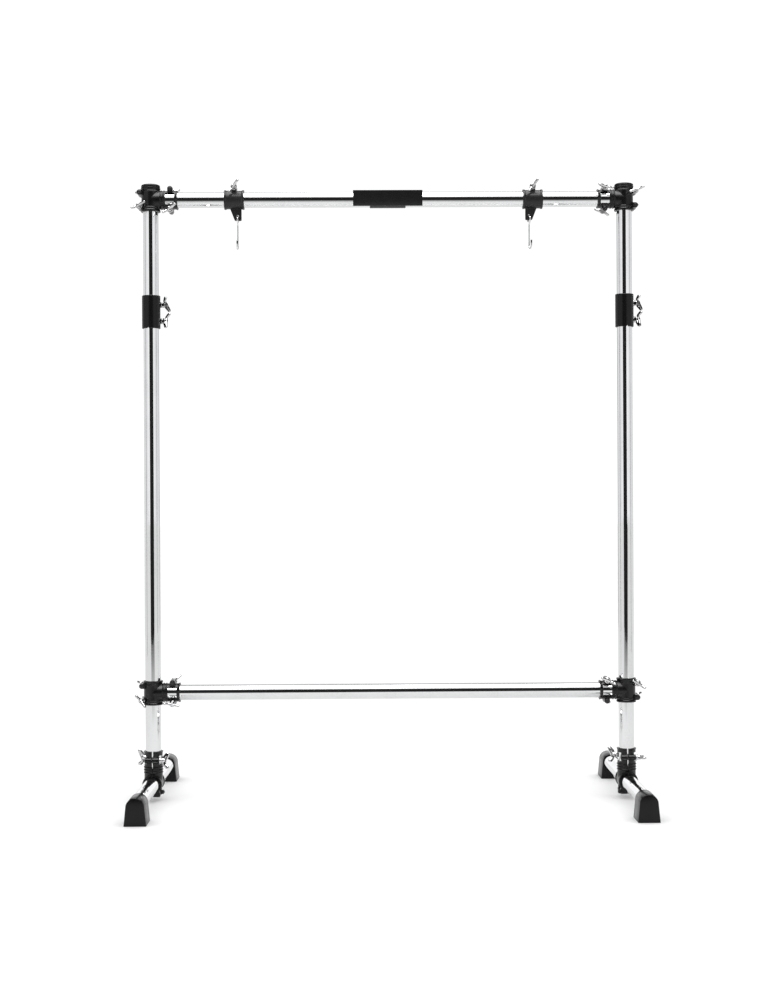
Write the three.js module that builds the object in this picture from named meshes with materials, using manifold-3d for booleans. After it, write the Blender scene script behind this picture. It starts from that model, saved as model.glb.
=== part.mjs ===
// A gong stand: two chromed posts on leg tubes with rubber feet, joined by a top and a lower bar.
// Black moulded clamps hold the tubes, wing nuts close the clamps, and two hooks carry the gong.
// Millimetres. The origin is on the floor, midway between the posts and between the feet.
// +X is to the right seen from the front, +Y to the rear, +Z up.

import * as THREE from "three";
import { mergeVertices } from "three/addons/utils/BufferGeometryUtils.js";
import Module from "manifold-3d";

const wasm = await Module();
wasm.setup();

// Tubes and the main layout
const TUBE_DIAMETER = 38.1;
const TUBE_WALL = 1.6;
const POST_SPACING = 1168;
const TOP_BAR_HEIGHT = 1478;
const LOWER_BAR_HEIGHT = 265;
const POST_JOINT_DROP = 276;
const LEG_TUBE_LENGTH = 610;
const TUBE_END_GAP = 3;
const POST_FOOT_GAP = 18.5;

// Fits
const TUBE_FIT = 0.35;
const STUD_FIT = 0.3;
const SEAT_GAP = 0.3;
const CUT_OVERRUN = 2;
const MERGE_DISTANCE = 1e-4;

// Half shells of the clamps
const SHELL_WALL = 3.1;
const SHELL_RIM_HEIGHT = 1.5;
const SHELL_RIM_WIDTH = 4.5;
const SHELL_SPLIT = 1.6;
const THROUGH_PORT_LENGTH = 59;
const CORNER_NECK = 37.5;
const LEG_NECK = 47;
const WINDOW_LENGTH = 22;
const WINDOW_HEIGHT = 30.5;
const CORNER_COLLAR = 7.5;
const LEG_COLLAR = 10;
const END_FLARE = 1.9;
const STUD_OFFSET = 25.8;
const THROUGH_STUD_HALF_PITCH = 17.5;

// Studs, their bosses and the nuts
const STUD_DIAMETER = 6;
const STUD_TIP = 12.5;
const BOSS_DIAMETER = 13.2;
const BOSS_REACH = 18;
const HEX_DIAMETER = 11;
const HEX_HEIGHT = 4.5;
const WING_NUT_SPAN = 40;
const WING_NUT_HEIGHT = 24;
const WING_NUT_HUB = 12.8;
const WING_NUT_FLANGE = 15.5;
const WING_NUT_FLANGE_HEIGHT = 4;
const WING_THICKNESS = 4;

// Sleeves that join the post tubes
const SLEEVE_LENGTH = 81;
const SLEEVE_WALL = 3.2;
const SLEEVE_SLIT = 2.4;
const SLEEVE_EAR_RADIUS = 30;
const SLEEVE_EAR_REACH = 6.5;
const SLEEVE_STUD_HALF_PITCH = 20.2;
const SLEEVE_EAR_ANGLE = 45;
const NOTCH_WIDTH = 6.6;
const NOTCH_DEPTH = 5;
const NOTCH_ANGLE = -138;

// Feet
const FOOT_FLOOR_WIDTH = 51.5;
const FOOT_WALL = 2.1;
const FOOT_END_WALL = 9;
const FOOT_DEPTH = 66;
const FOOT_BEVEL = 0.8;
const LEG_AXIS_HEIGHT = 42.5;

// Post caps
const CAP_WALL = 3.8;
const CAP_RISE = 8.2;
const CAP_ROOF = 2;
const CAP_GAP = 0.5;

// Gong hangers and hooks
const LEFT_HANGER_INSET = 206;
const RIGHT_HANGER_INSET = 226.5;
const HANGER_WIDTH = 49;
const HANGER_EAR_RADIUS = 29.5;
const HANGER_EAR_REACH = 12.5;
const TONGUE_TOP_WIDTH = 27.3;
const TONGUE_TIP_WIDTH = 16.7;
const TONGUE_OFFSET = 17.8;
const TONGUE_DROP = 51.5;
const TONGUE_THICKNESS = 6;
const TONGUE_CORNER = 2.5;
const HOOK_HOLE_OFFSET = 8.2;
const HOOK_HOLE_DROP = 40;
const HOOK_HOLE_DIAMETER = 7;
const HOOK_WIRE = 4;
const HOOK_EYE_RADIUS = 9;
const HOOK_EYE_OPENS = -38;
const HOOK_EYE_CLOSES = 232;
const HOOK_CROOK_RADIUS = 9;
const HOOK_CROOK_TIP = 11;
const HOOK_DROP = 124.5;
const HOOK_TWIST = 12;
const HOOK_SEAT_GAP = 0.55;

// Name plate on its clip
const PLATE_LENGTH = 170.5;
const PLATE_HEIGHT = 38.7;
const PLATE_THICKNESS = 3.2;
const PLATE_BORDER = 2;
const PLATE_RECESS = 0.6;
const CLIP_LENGTH = 88;
const CLIP_WALL = 3.2;
const CLIP_MOUTH = 27;

// How finely round shapes are divided
const TUBE_SIDES = 24;
const SHELL_SIDES = 20;
const SMALL_SIDES = 8;
const HEX_SIDES = 6;
const WIRE_SIDES = 6;
const ARC_STEPS = 8;
const BOSS_STEPS = 4;
const HOLE_STEPS = 6;

// Sizes that follow from the ones above
const TUBE_RADIUS = TUBE_DIAMETER / 2;
const BORE_RADIUS = TUBE_RADIUS + TUBE_FIT;
const SHELL_RADIUS = BORE_RADIUS + SHELL_WALL;
const STUD_RADIUS = STUD_DIAMETER / 2;
const STUD_HOLE_RADIUS = STUD_RADIUS + STUD_FIT;
const BOSS_RADIUS = BOSS_DIAMETER / 2;
const POST_X = POST_SPACING / 2;
const PORT_HALF = THROUGH_PORT_LENGTH / 2;
const STUD_FROM_NECK = WINDOW_LENGTH / 2 + SHELL_SPLIT / 2;
const TUBE_END = TUBE_RADIUS + TUBE_END_GAP;
const POST_JOINT_HEIGHT = TOP_BAR_HEIGHT - POST_JOINT_DROP;
const CAP_BASE = TOP_BAR_HEIGHT + PORT_HALF + CAP_GAP;
const POST_TOP = CAP_BASE + CAP_RISE - CAP_ROOF - SEAT_GAP;

// How far below the bar's axis the hook's eye passes the hanger's hole. The wire rests on both
// faces of the tongue, and a twisted hook lies a little across the hole.
const TONGUE_HALF = TONGUE_THICKNESS / 2;
const hookPlay = HOOK_HOLE_DIAMETER / 2 - HOOK_WIRE / 2 - HOOK_SEAT_GAP;
const hookAcross = TONGUE_HALF * Math.sin(THREE.MathUtils.degToRad(HOOK_TWIST));
const hookBow = HOOK_EYE_RADIUS - Math.sqrt(HOOK_EYE_RADIUS ** 2 - TONGUE_HALF ** 2);
const HOOK_HANG = HOOK_HOLE_DROP + Math.sqrt(hookPlay ** 2 - hookAcross ** 2) - hookBow;

// Colours of the real finishes
const CHROME = { color: 0xd8dade, roughness: 0.08, metalness: 1 };
const BLACK_PLASTIC = { color: 0x202124, roughness: 0.45, metalness: 0 };
const BLACK_RUBBER = { color: 0x1c1c1e, roughness: 0.6, metalness: 0 };
const PLATE_PLASTIC = { color: 0x2a2a2d, roughness: 0.4, metalness: 0 };

// A closed three.js geometry as a solid that can be joined and cut.
function solid(geometry) {
  const bare = geometry.index ? geometry.toNonIndexed() : geometry.clone();
  bare.deleteAttribute("normal");
  bare.deleteAttribute("uv");
  const merged = mergeVertices(bare, MERGE_DISTANCE);
  return new wasm.Manifold(
    new wasm.Mesh({
      numProp: 3,
      vertProperties: merged.attributes.position.array,
      triVerts: new Uint32Array(merged.index.array),
    }),
  );
}

// The solid's surface as a three.js geometry.
function geometryOf(shape) {
  const { numProp, vertProperties, triVerts } = shape.getMesh();
  const places = new Float32Array((vertProperties.length / numProp) * 3);
  for (let i = 0; i < places.length / 3; i++)
    for (let k = 0; k < 3; k++) places[3 * i + k] = vertProperties[numProp * i + k];
  const geometry = new THREE.BufferGeometry();
  geometry.setAttribute("position", new THREE.BufferAttribute(places, 3));
  geometry.setIndex(new THREE.BufferAttribute(new Uint32Array(triVerts), 1));
  const faceted = geometry.toNonIndexed();
  faceted.computeVertexNormals();
  return faceted;
}

const QUARTER = Math.PI / 2;
const HALF_TURN = Math.PI;

// Turns a shape that stands along Y so that it lies along the named axis, its start towards minus.
function alongAxis(geometry, axis) {
  if (axis === "z") return geometry.rotateX(QUARTER);
  if (axis === "x") return geometry.rotateZ(-QUARTER);
  return geometry;
}

// A rod from start to end on an axis parallel to X, Y or Z, through the point at.
function rod(radius, axis, start, end, at = [0, 0, 0], sides = SMALL_SIDES) {
  const geometry = new THREE.CylinderGeometry(radius, radius, end - start, sides);
  geometry.translate(0, (start + end) / 2, 0);
  return solid(alongAxis(geometry, axis).translate(...at));
}

// A turned solid: profile points are [radius, place along the axis], and start and end on the axis.
function turned(profile, axis, sides = SHELL_SIDES) {
  const points = profile.map(([radius, place]) => new THREE.Vector2(radius, place));
  return solid(alongAxis(new THREE.LatheGeometry(points, sides), axis));
}

// A block between two corners.
function block([x0, y0, z0], [x1, y1, z1]) {
  const geometry = new THREE.BoxGeometry(x1 - x0, y1 - y0, z1 - z0);
  return solid(geometry.translate((x0 + x1) / 2, (y0 + y1) / 2, (z0 + z1) / 2));
}

// A hollow tube along an axis.
function tube(length, axis) {
  const outer = rod(TUBE_RADIUS, axis, -length / 2, length / 2, [0, 0, 0], TUBE_SIDES);
  const reach = length / 2 + CUT_OVERRUN;
  const inner = rod(TUBE_RADIUS - TUBE_WALL, axis, -reach, reach, [0, 0, 0], TUBE_SIDES);
  return outer.subtract(inner);
}

// The outer form of a shell's through port, along Z, with a raised rim at each end.
function throughPort() {
  const rim = SHELL_RADIUS + SHELL_RIM_HEIGHT;
  const shoulder = PORT_HALF - SHELL_RIM_WIDTH;
  const waist = shoulder - SHELL_RIM_HEIGHT;
  const half = [
    [SHELL_RADIUS, waist],
    [rim, shoulder],
    [rim, PORT_HALF],
    [0, PORT_HALF],
  ];
  const mirrored = half.map(([radius, place]) => [radius, -place]).reverse();
  return turned([...mirrored, ...half], "z");
}

// The outer form of a shell's short port, along X, with a flared collar at its end.
function shortPort(neck, collar) {
  const windowEnd = neck + WINDOW_LENGTH;
  const end = windowEnd + collar;
  return turned(
    [
      [0, 0],
      [SHELL_RADIUS, 0],
      [SHELL_RADIUS, windowEnd + collar / 2],
      [SHELL_RADIUS + END_FLARE, end],
      [0, end],
    ],
    "x",
  );
}

// A boss along Y, round about the point [x, z], that runs on by its own radius towards the port.
function boss([x, z], [towardsX, towardsZ], start, end) {
  const radius = BOSS_RADIUS;
  const outline = new THREE.Shape();
  outline.moveTo(radius, -radius);
  outline.lineTo(radius, radius);
  for (let i = 0; i <= BOSS_STEPS; i++) {
    const angle = QUARTER + (i / BOSS_STEPS) * HALF_TURN;
    outline.lineTo(radius * Math.cos(angle), radius * Math.sin(angle));
  }
  const geometry = new THREE.ExtrudeGeometry(outline, { depth: end - start, bevelEnabled: false });
  geometry.rotateZ(Math.atan2(towardsZ, towardsX));
  return solid(geometry.rotateX(QUARTER).translate(x, end, z));
}

// The places of a shell's studs in X and Z: one beside the through port, one over the window.
function studPlaces(neck, throughSide, shortSide) {
  return [
    [-STUD_OFFSET, throughSide * THROUGH_STUD_HALF_PITCH],
    [neck + STUD_FROM_NECK, shortSide * STUD_OFFSET],
  ];
}

// One half shell, on the -Y side of its split. Its own two studs reach through the other half.
// A hex stud beside the through port ends in a fixed hexagon nut, and the others take wing nuts.
function halfShell({ neck, collar, shortSide, hexThrough }) {
  const own = studPlaces(neck, 1, shortSide);
  const mates = studPlaces(neck, -1, -shortSide);
  const split = SHELL_SPLIT / 2;
  let body = throughPort().add(shortPort(neck, collar));
  const deep = SHELL_RADIUS + END_FLARE + CUT_OVERRUN;
  const windowBlock = [
    [neck, -deep, -WINDOW_HEIGHT / 2],
    [neck + WINDOW_LENGTH, deep, WINDOW_HEIGHT / 2],
  ];
  body = body.subtract(block(...windowBlock));
  for (const [x, z] of [...own, ...mates]) {
    const towards = x < 0 ? [1, 0] : [0, -Math.sign(z)];
    body = body.add(boss([x, z], towards, -BOSS_REACH, 0));
  }
  const reach = neck + WINDOW_LENGTH + collar + CUT_OVERRUN;
  const bore = PORT_HALF + CUT_OVERRUN;
  body = body
    .subtract(rod(BORE_RADIUS, "z", -bore, bore, [0, 0, 0], SHELL_SIDES))
    .subtract(rod(BORE_RADIUS, "x", 0, reach, [0, 0, 0], SHELL_SIDES))
    .subtract(block([-reach, -split, -reach], [reach, reach, reach]));
  for (const [x, z] of mates)
    body = body.subtract(rod(STUD_HOLE_RADIUS, "y", -reach, reach, [x, 0, z]));
  own.forEach(([x, z], index) => {
    body = body.add(rod(STUD_RADIUS, "y", -BOSS_REACH / 2, BOSS_REACH + STUD_TIP, [x, 0, z]));
    if (hexThrough && index === 0) {
      const seat = BOSS_REACH + SEAT_GAP;
      body = body.add(
        rod(HEX_DIAMETER / 2, "y", seat, seat + HEX_HEIGHT, [x, 0, z], HEX_SIDES),
      );
      body = body.subtract(
        rod(BOSS_RADIUS, "y", seat + HEX_HEIGHT + SEAT_GAP, reach, [x, 0, z]),
      );
    }
  });
  return body;
}

// The outline of one wing: its foot is in the hub, its lower edge clears the clamp below it.
// Shares of half the span, and of the height.
const wingOutlineShares = [
  [0.2, 0.14],
  [0.34, 0.18],
  [0.55, 0.36],
  [0.97, 0.65],
  [1, 0.82],
  [0.86, 1],
  [0.68, 0.95],
  [0.34, 0.54],
  [0.2, 0.48],
];
const HUB_TOP_SHARE = 0.52;
const HUB_WAIST_SHARE = 0.86;

// A wing nut that stands on z = 0 on a round flange, with its bore along Z and its wings along X.
function wingNut() {
  const reach = WING_NUT_SPAN / 2;
  const hub = WING_NUT_HUB / 2;
  const flange = WING_NUT_FLANGE / 2;
  const hubTop = WING_NUT_HEIGHT * HUB_TOP_SHARE;
  let nut = turned(
    [
      [0, 0],
      [flange, 0],
      [flange, WING_NUT_FLANGE_HEIGHT],
      [hub, WING_NUT_FLANGE_HEIGHT],
      [hub * HUB_WAIST_SHARE, hubTop],
      [0, hubTop],
    ],
    "z",
    SMALL_SIDES,
  );
  for (const side of [1, -1]) {
    const outline = wingOutlineShares.map(
      ([out, up]) => new THREE.Vector2(out * reach, up * WING_NUT_HEIGHT),
    );
    const geometry = new THREE.ExtrudeGeometry(new THREE.Shape(outline), {
      depth: WING_THICKNESS,
      bevelEnabled: false,
    });
    geometry.translate(0, 0, -WING_THICKNESS / 2).rotateX(QUARTER);
    if (side < 0) geometry.rotateZ(HALF_TURN);
    nut = nut.add(solid(geometry));
  }
  return nut.subtract(rod(STUD_HOLE_RADIUS, "z", -CUT_OVERRUN, WING_NUT_HEIGHT));
}

// A split coupling along Z. Its ears point to +X, and its two studs run towards -Y.
function postSleeve() {
  const half = SLEEVE_LENGTH / 2;
  const radius = BORE_RADIUS + SLEEVE_WALL;
  const slit = SLEEVE_SLIT / 2;
  let body = rod(radius, "z", -half, half, [0, 0, 0], SHELL_SIDES);
  for (const z of [-SLEEVE_STUD_HALF_PITCH, SLEEVE_STUD_HALF_PITCH]) {
    const at = [SLEEVE_EAR_RADIUS, 0, z];
    body = body
      .add(rod(BOSS_RADIUS, "y", -SLEEVE_EAR_REACH, SLEEVE_EAR_REACH, at))
      .add(
        block(
          [0, -SLEEVE_EAR_REACH, z - BOSS_RADIUS],
          [SLEEVE_EAR_RADIUS, SLEEVE_EAR_REACH, z + BOSS_RADIUS],
        ),
      );
  }
  const over = half + CUT_OVERRUN;
  const past = SLEEVE_EAR_RADIUS + BOSS_RADIUS + CUT_OVERRUN;
  body = body
    .subtract(rod(BORE_RADIUS, "z", -over, over, [0, 0, 0], SHELL_SIDES))
    .subtract(block([0, -slit, -over], [past, slit, over]));
  for (const z of [-SLEEVE_STUD_HALF_PITCH, SLEEVE_STUD_HALF_PITCH]) {
    const at = [SLEEVE_EAR_RADIUS, 0, z];
    const tip = SLEEVE_EAR_REACH + STUD_TIP;
    body = body
      .subtract(rod(STUD_HOLE_RADIUS, "y", -past, 0, at))
      .add(rod(STUD_RADIUS, "y", -tip, SLEEVE_EAR_REACH, at))
      .add(
        rod(HEX_DIAMETER / 2, "y", SLEEVE_EAR_REACH, SLEEVE_EAR_REACH + HEX_HEIGHT, at, HEX_SIDES),
      );
  }
  const notch = new THREE.Shape([
    new THREE.Vector2(-NOTCH_WIDTH / 2, -CUT_OVERRUN),
    new THREE.Vector2(NOTCH_WIDTH / 2, -CUT_OVERRUN),
    new THREE.Vector2(NOTCH_WIDTH / 2, 0),
    new THREE.Vector2(0, NOTCH_DEPTH),
    new THREE.Vector2(-NOTCH_WIDTH / 2, 0),
  ]);
  const cut = new THREE.ExtrudeGeometry(notch, { depth: past, bevelEnabled: false });
  cut.rotateX(QUARTER).rotateZ(QUARTER + THREE.MathUtils.degToRad(NOTCH_ANGLE));
  return body.subtract(solid(cut.translate(0, 0, -half)));
}

// A domed cap over the top end of a post, standing on z = 0.
const capDomeShares = [
  [1, 0.5],
  [0.93, 0.8],
  [0.66, 1],
];
function postCap() {
  const radius = BORE_RADIUS + CAP_WALL;
  const dome = capDomeShares.map(([out, up]) => [out * radius, up * CAP_RISE]);
  const body = turned([[0, 0], [radius, 0], ...dome, [0, CAP_RISE]], "z", TUBE_SIDES);
  const roof = CAP_RISE - CAP_ROOF;
  return body.subtract(rod(BORE_RADIUS, "z", -CUT_OVERRUN, roof, [0, 0, 0], TUBE_SIDES));
}

// A foot on the front end of a leg tube: its end wall faces -Y, the tube goes in from +Y.
// The tube ends at y = 0, and z = 0 is the floor.
function foot() {
  const arch = BORE_RADIUS + FOOT_WALL;
  const base = FOOT_FLOOR_WIDTH / 2;
  const outline = new THREE.Shape();
  outline.moveTo(-base, 0);
  outline.lineTo(base, 0);
  outline.lineTo(arch, LEG_AXIS_HEIGHT);
  for (let i = 1; i <= 2 * ARC_STEPS; i++) {
    const angle = (i / (2 * ARC_STEPS)) * HALF_TURN;
    outline.lineTo(arch * Math.cos(angle), LEG_AXIS_HEIGHT + arch * Math.sin(angle));
  }
  const geometry = new THREE.ExtrudeGeometry(outline, {
    depth: FOOT_DEPTH - 2 * FOOT_BEVEL,
    bevelEnabled: true,
    bevelThickness: FOOT_BEVEL,
    bevelSize: FOOT_BEVEL,
    bevelOffset: -FOOT_BEVEL,
    bevelSegments: 1,
  });
  geometry.translate(0, 0, FOOT_BEVEL).rotateX(QUARTER);
  geometry.translate(0, FOOT_DEPTH - FOOT_END_WALL - SEAT_GAP, 0);
  const bore = rod(
    BORE_RADIUS,
    "y",
    -SEAT_GAP,
    FOOT_DEPTH + CUT_OVERRUN,
    [0, 0, LEG_AXIS_HEIGHT],
    TUBE_SIDES,
  );
  return solid(geometry).subtract(bore);
}

// A gong hanger: a collar along X, split at the top, with a tongue below that carries the hook.
// inward is +1 where the middle of the stand lies towards +X.
function gongHanger(inward) {
  const half = HANGER_WIDTH / 2;
  const rim = SHELL_RADIUS + SHELL_RIM_HEIGHT;
  const shoulder = half - SHELL_RIM_WIDTH;
  const waist = shoulder - SHELL_RIM_HEIGHT;
  const slit = SLEEVE_SLIT / 2;
  const end = [
    [SHELL_RADIUS, waist],
    [rim, shoulder],
    [rim, half],
    [0, half],
  ];
  const start = end.map(([radius, place]) => [radius, -place]).reverse();
  const earTop = [0, 0, HANGER_EAR_RADIUS];
  const tip = HANGER_EAR_REACH + STUD_TIP;
  let body = turned([...start, ...end], "x")
    .add(rod(BOSS_RADIUS, "y", -HANGER_EAR_REACH, HANGER_EAR_REACH, earTop))
    .add(
      block(
        [-BOSS_RADIUS, -HANGER_EAR_REACH, 0],
        [BOSS_RADIUS, HANGER_EAR_REACH, HANGER_EAR_RADIUS],
      ),
    )
    .add(hangerTongue(inward));
  const over = half + CUT_OVERRUN;
  const past = HANGER_EAR_RADIUS + BOSS_RADIUS + CUT_OVERRUN;
  body = body
    .subtract(rod(BORE_RADIUS, "x", -over, over, [0, 0, 0], SHELL_SIDES))
    .subtract(block([-over, -slit, 0], [over, slit, past]))
    .subtract(rod(STUD_HOLE_RADIUS, "y", -past, 0, earTop));
  return body
    .add(rod(STUD_RADIUS, "y", -tip, HANGER_EAR_REACH, earTop))
    .add(
      rod(
        HEX_DIAMETER / 2,
        "y",
        HANGER_EAR_REACH,
        HANGER_EAR_REACH + HEX_HEIGHT,
        earTop,
        HEX_SIDES,
      ),
    );
}

// The hanger's tongue, with an upright inner edge, a slanted outer edge and the hook's hole.
function hangerTongue(inward) {
  const inner = inward * TONGUE_OFFSET;
  const outerTop = inner - inward * TONGUE_TOP_WIDTH;
  const outerTip = inner - inward * TONGUE_TIP_WIDTH;
  const corner = inward * TONGUE_CORNER;
  const outline = new THREE.Shape([
    new THREE.Vector2(outerTop, -TUBE_RADIUS),
    new THREE.Vector2(outerTip - corner / 2, -TONGUE_DROP + TONGUE_CORNER),
    new THREE.Vector2(outerTip + corner / 2, -TONGUE_DROP),
    new THREE.Vector2(inner - corner, -TONGUE_DROP),
    new THREE.Vector2(inner, -TONGUE_DROP + TONGUE_CORNER),
    new THREE.Vector2(inner, -TUBE_RADIUS),
  ]);
  const hole = new THREE.Path();
  hole.absarc(
    inward * HOOK_HOLE_OFFSET,
    -HOOK_HOLE_DROP,
    HOOK_HOLE_DIAMETER / 2,
    0,
    2 * Math.PI,
    false,
  );
  outline.holes.push(hole);
  const geometry = new THREE.ExtrudeGeometry(outline, {
    depth: TONGUE_THICKNESS,
    bevelEnabled: false,
    curveSegments: HOLE_STEPS,
  });
  geometry.translate(0, 0, -TONGUE_THICKNESS / 2).rotateX(QUARTER);
  return solid(geometry);
}

// A hook of round wire in the YZ plane. The origin is where its eye passes the hanger's hole.
function gongHook() {
  const eye = HOOK_EYE_RADIUS;
  const crook = HOOK_CROOK_RADIUS;
  const eyeCentre = -eye;
  const crookCentre = -(HOOK_DROP - HOOK_HANG - HOOK_WIRE / 2 - crook);
  const points = [];
  const arc = (y, z, radius, from, to, steps) => {
    for (let i = 0; i <= steps; i++) {
      const angle = THREE.MathUtils.degToRad(from + ((to - from) * i) / steps);
      points.push(
        new THREE.Vector3(0, y + radius * Math.cos(angle), z + radius * Math.sin(angle)),
      );
    }
  };
  arc(0, eyeCentre, eye, HOOK_EYE_OPENS, HOOK_EYE_CLOSES, 3 * ARC_STEPS);
  const shankTop = eyeCentre - 2 * eye;
  const shankEnd = crookCentre;
  for (let i = 0; i <= 2; i++)
    points.push(new THREE.Vector3(0, 0, shankTop + ((shankEnd - shankTop) * i) / 2));
  arc(-crook, crookCentre, crook, -180 / ARC_STEPS, -180, ARC_STEPS);
  points.push(new THREE.Vector3(0, -2 * crook, crookCentre + HOOK_CROOK_TIP));
  const path = new THREE.CatmullRomCurve3(points, false, "centripetal");
  const ring = new THREE.Shape();
  ring.absarc(0, 0, HOOK_WIRE / 2, 0, 2 * Math.PI, false);
  return new THREE.ExtrudeGeometry(ring, {
    steps: 5 * ARC_STEPS,
    curveSegments: WIRE_SIDES / 2,
    extrudePath: path,
  });
}

// The name plate: a flat bordered board at the front of a clip that grips the bar along X.
function namePlate() {
  const clipRadius = BORE_RADIUS + CLIP_WALL;
  const half = CLIP_LENGTH / 2;
  const front = -(TUBE_RADIUS + PLATE_THICKNESS + TUBE_FIT + CLIP_WALL / 2);
  const long = PLATE_LENGTH / 2;
  const high = PLATE_HEIGHT / 2;
  const innerLong = long - PLATE_BORDER;
  const innerHigh = high - PLATE_BORDER;
  return rod(clipRadius, "x", -half, half, [0, 0, 0], SHELL_SIDES)
    .add(block([-long, front, -high], [long, front + PLATE_THICKNESS, high]))
    .subtract(
      block(
        [-innerLong, front - CUT_OVERRUN, -innerHigh],
        [innerLong, front + PLATE_RECESS, innerHigh],
      ),
    )
    .subtract(rod(BORE_RADIUS, "x", -long, long, [0, 0, 0], SHELL_SIDES))
    .subtract(
      block([-long, 0, -CLIP_MOUTH / 2], [long, clipRadius + CUT_OVERRUN, CLIP_MOUTH / 2]),
    );
}

const stand = new THREE.Group();

// Adds one named mesh to a group, placed and turned as given in degrees.
function place(parent, name, geometry, finish, at = [0, 0, 0], turn = [0, 0, 0]) {
  const mesh = new THREE.Mesh(geometry, new THREE.MeshStandardMaterial(finish));
  mesh.name = name;
  mesh.position.set(...at);
  mesh.rotation.set(...turn.map(THREE.MathUtils.degToRad));
  parent.add(mesh);
  return mesh;
}

const nutGeometry = geometryOf(wingNut());

// A wing nut on a stud along Y. facing is -1 for a nut that looks to the front, +1 to the rear.
// lean turns the wings from level, clockwise as seen by someone who looks along +Y.
function placeNut(parent, name, [x, z], seat, facing, lean) {
  const holder = new THREE.Group();
  holder.position.set(x, facing * (seat + SEAT_GAP), z);
  holder.rotation.set(-facing * QUARTER, 0, 0);
  const nut = place(holder, name, nutGeometry, CHROME);
  nut.rotation.z = THREE.MathUtils.degToRad(lean) * facing;
  parent.add(holder);
}

// Posts, their sleeves and caps
const LOWER_POST_FOOT = LEG_AXIS_HEIGHT + TUBE_RADIUS + POST_FOOT_GAP;
const lowerPostLength = POST_JOINT_HEIGHT - SEAT_GAP / 2 - LOWER_POST_FOOT;
const upperPostLength = POST_TOP - POST_JOINT_HEIGHT - SEAT_GAP / 2;
const lowerPost = geometryOf(tube(lowerPostLength, "z"));
const upperPost = geometryOf(tube(upperPostLength, "z"));
const sleeve = geometryOf(postSleeve());
const cap = geometryOf(postCap());
const sleeveNutLeans = {
  left: { upper: 70, lower: 108 },
  right: { upper: 76, lower: 100 },
};
for (const [side, x] of [
  ["left", -POST_X],
  ["right", POST_X],
]) {
  const lowerAt = [x, 0, LOWER_POST_FOOT + lowerPostLength / 2];
  const upperAt = [x, 0, POST_TOP - upperPostLength / 2];
  place(stand, `lower_post_${side}`, lowerPost, CHROME, lowerAt);
  place(stand, `upper_post_${side}`, upperPost, CHROME, upperAt);
  place(stand, `post_cap_${side}`, cap, BLACK_RUBBER, [x, 0, CAP_BASE]);
  const coupling = new THREE.Group();
  coupling.position.set(x, 0, POST_JOINT_HEIGHT);
  coupling.rotation.z = THREE.MathUtils.degToRad(SLEEVE_EAR_ANGLE);
  place(coupling, `post_sleeve_${side}`, sleeve, BLACK_PLASTIC);
  for (const [level, z] of [
    ["upper", SLEEVE_STUD_HALF_PITCH],
    ["lower", -SLEEVE_STUD_HALF_PITCH],
  ]) {
    const name = `sleeve_wing_nut_${side}_${level}`;
    const lean = sleeveNutLeans[side][level];
    placeNut(coupling, name, [SLEEVE_EAR_RADIUS, z], SLEEVE_EAR_REACH, -1, lean);
  }
  stand.add(coupling);
}

// Cross bars, name plate
const barLength = POST_SPACING - 2 * TUBE_END;
const bar = geometryOf(tube(barLength, "x"));
place(stand, "top_bar", bar, CHROME, [0, 0, TOP_BAR_HEIGHT]);
place(stand, "lower_bar", bar, CHROME, [0, 0, LOWER_BAR_HEIGHT]);
place(stand, "name_plate", geometryOf(namePlate()), PLATE_PLASTIC, [0, 0, TOP_BAR_HEIGHT]);

// Corner clamps: the right ones are the left ones turned half round a front-to-back line.
const cornerShell = geometryOf(
  halfShell({ neck: CORNER_NECK, collar: CORNER_COLLAR, shortSide: 1, hexThrough: false }),
);
const cornerNutLeans = {
  top_left: { post_front: -25, bar_front: -35, post_rear: 30, bar_rear: -20 },
  top_right: { post_front: -19, bar_front: 12, post_rear: -35, bar_rear: 24 },
  lower_left: { post_front: 51, bar_front: 9, post_rear: 16, bar_rear: -40 },
  lower_right: { post_front: 32, bar_front: 24, post_rear: -16, bar_rear: 36 },
};
for (const [corner, x, height, turn] of [
  ["top_left", -POST_X, TOP_BAR_HEIGHT, 0],
  ["top_right", POST_X, TOP_BAR_HEIGHT, 180],
  ["lower_left", -POST_X, LOWER_BAR_HEIGHT, 0],
  ["lower_right", POST_X, LOWER_BAR_HEIGHT, 180],
]) {
  const clamp = new THREE.Group();
  clamp.position.set(x, 0, height);
  clamp.rotation.y = THREE.MathUtils.degToRad(turn);
  place(clamp, `${corner}_clamp_front`, cornerShell, BLACK_PLASTIC);
  place(clamp, `${corner}_clamp_rear`, cornerShell, BLACK_PLASTIC, [0, 0, 0], [180, 0, 0]);
  const [postStud, barStud] = studPlaces(CORNER_NECK, 1, 1);
  const leans = cornerNutLeans[corner];
  for (const [which, [studX, studZ]] of [
    ["post", postStud],
    ["bar", barStud],
  ]) {
    const rear = `${corner}_wing_nut_${which}_rear`;
    const front = `${corner}_wing_nut_${which}_front`;
    placeNut(clamp, rear, [studX, studZ], BOSS_REACH, 1, leans[`${which}_rear`]);
    placeNut(clamp, front, [studX, -studZ], BOSS_REACH, -1, leans[`${which}_front`]);
  }
  stand.add(clamp);
}

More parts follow.
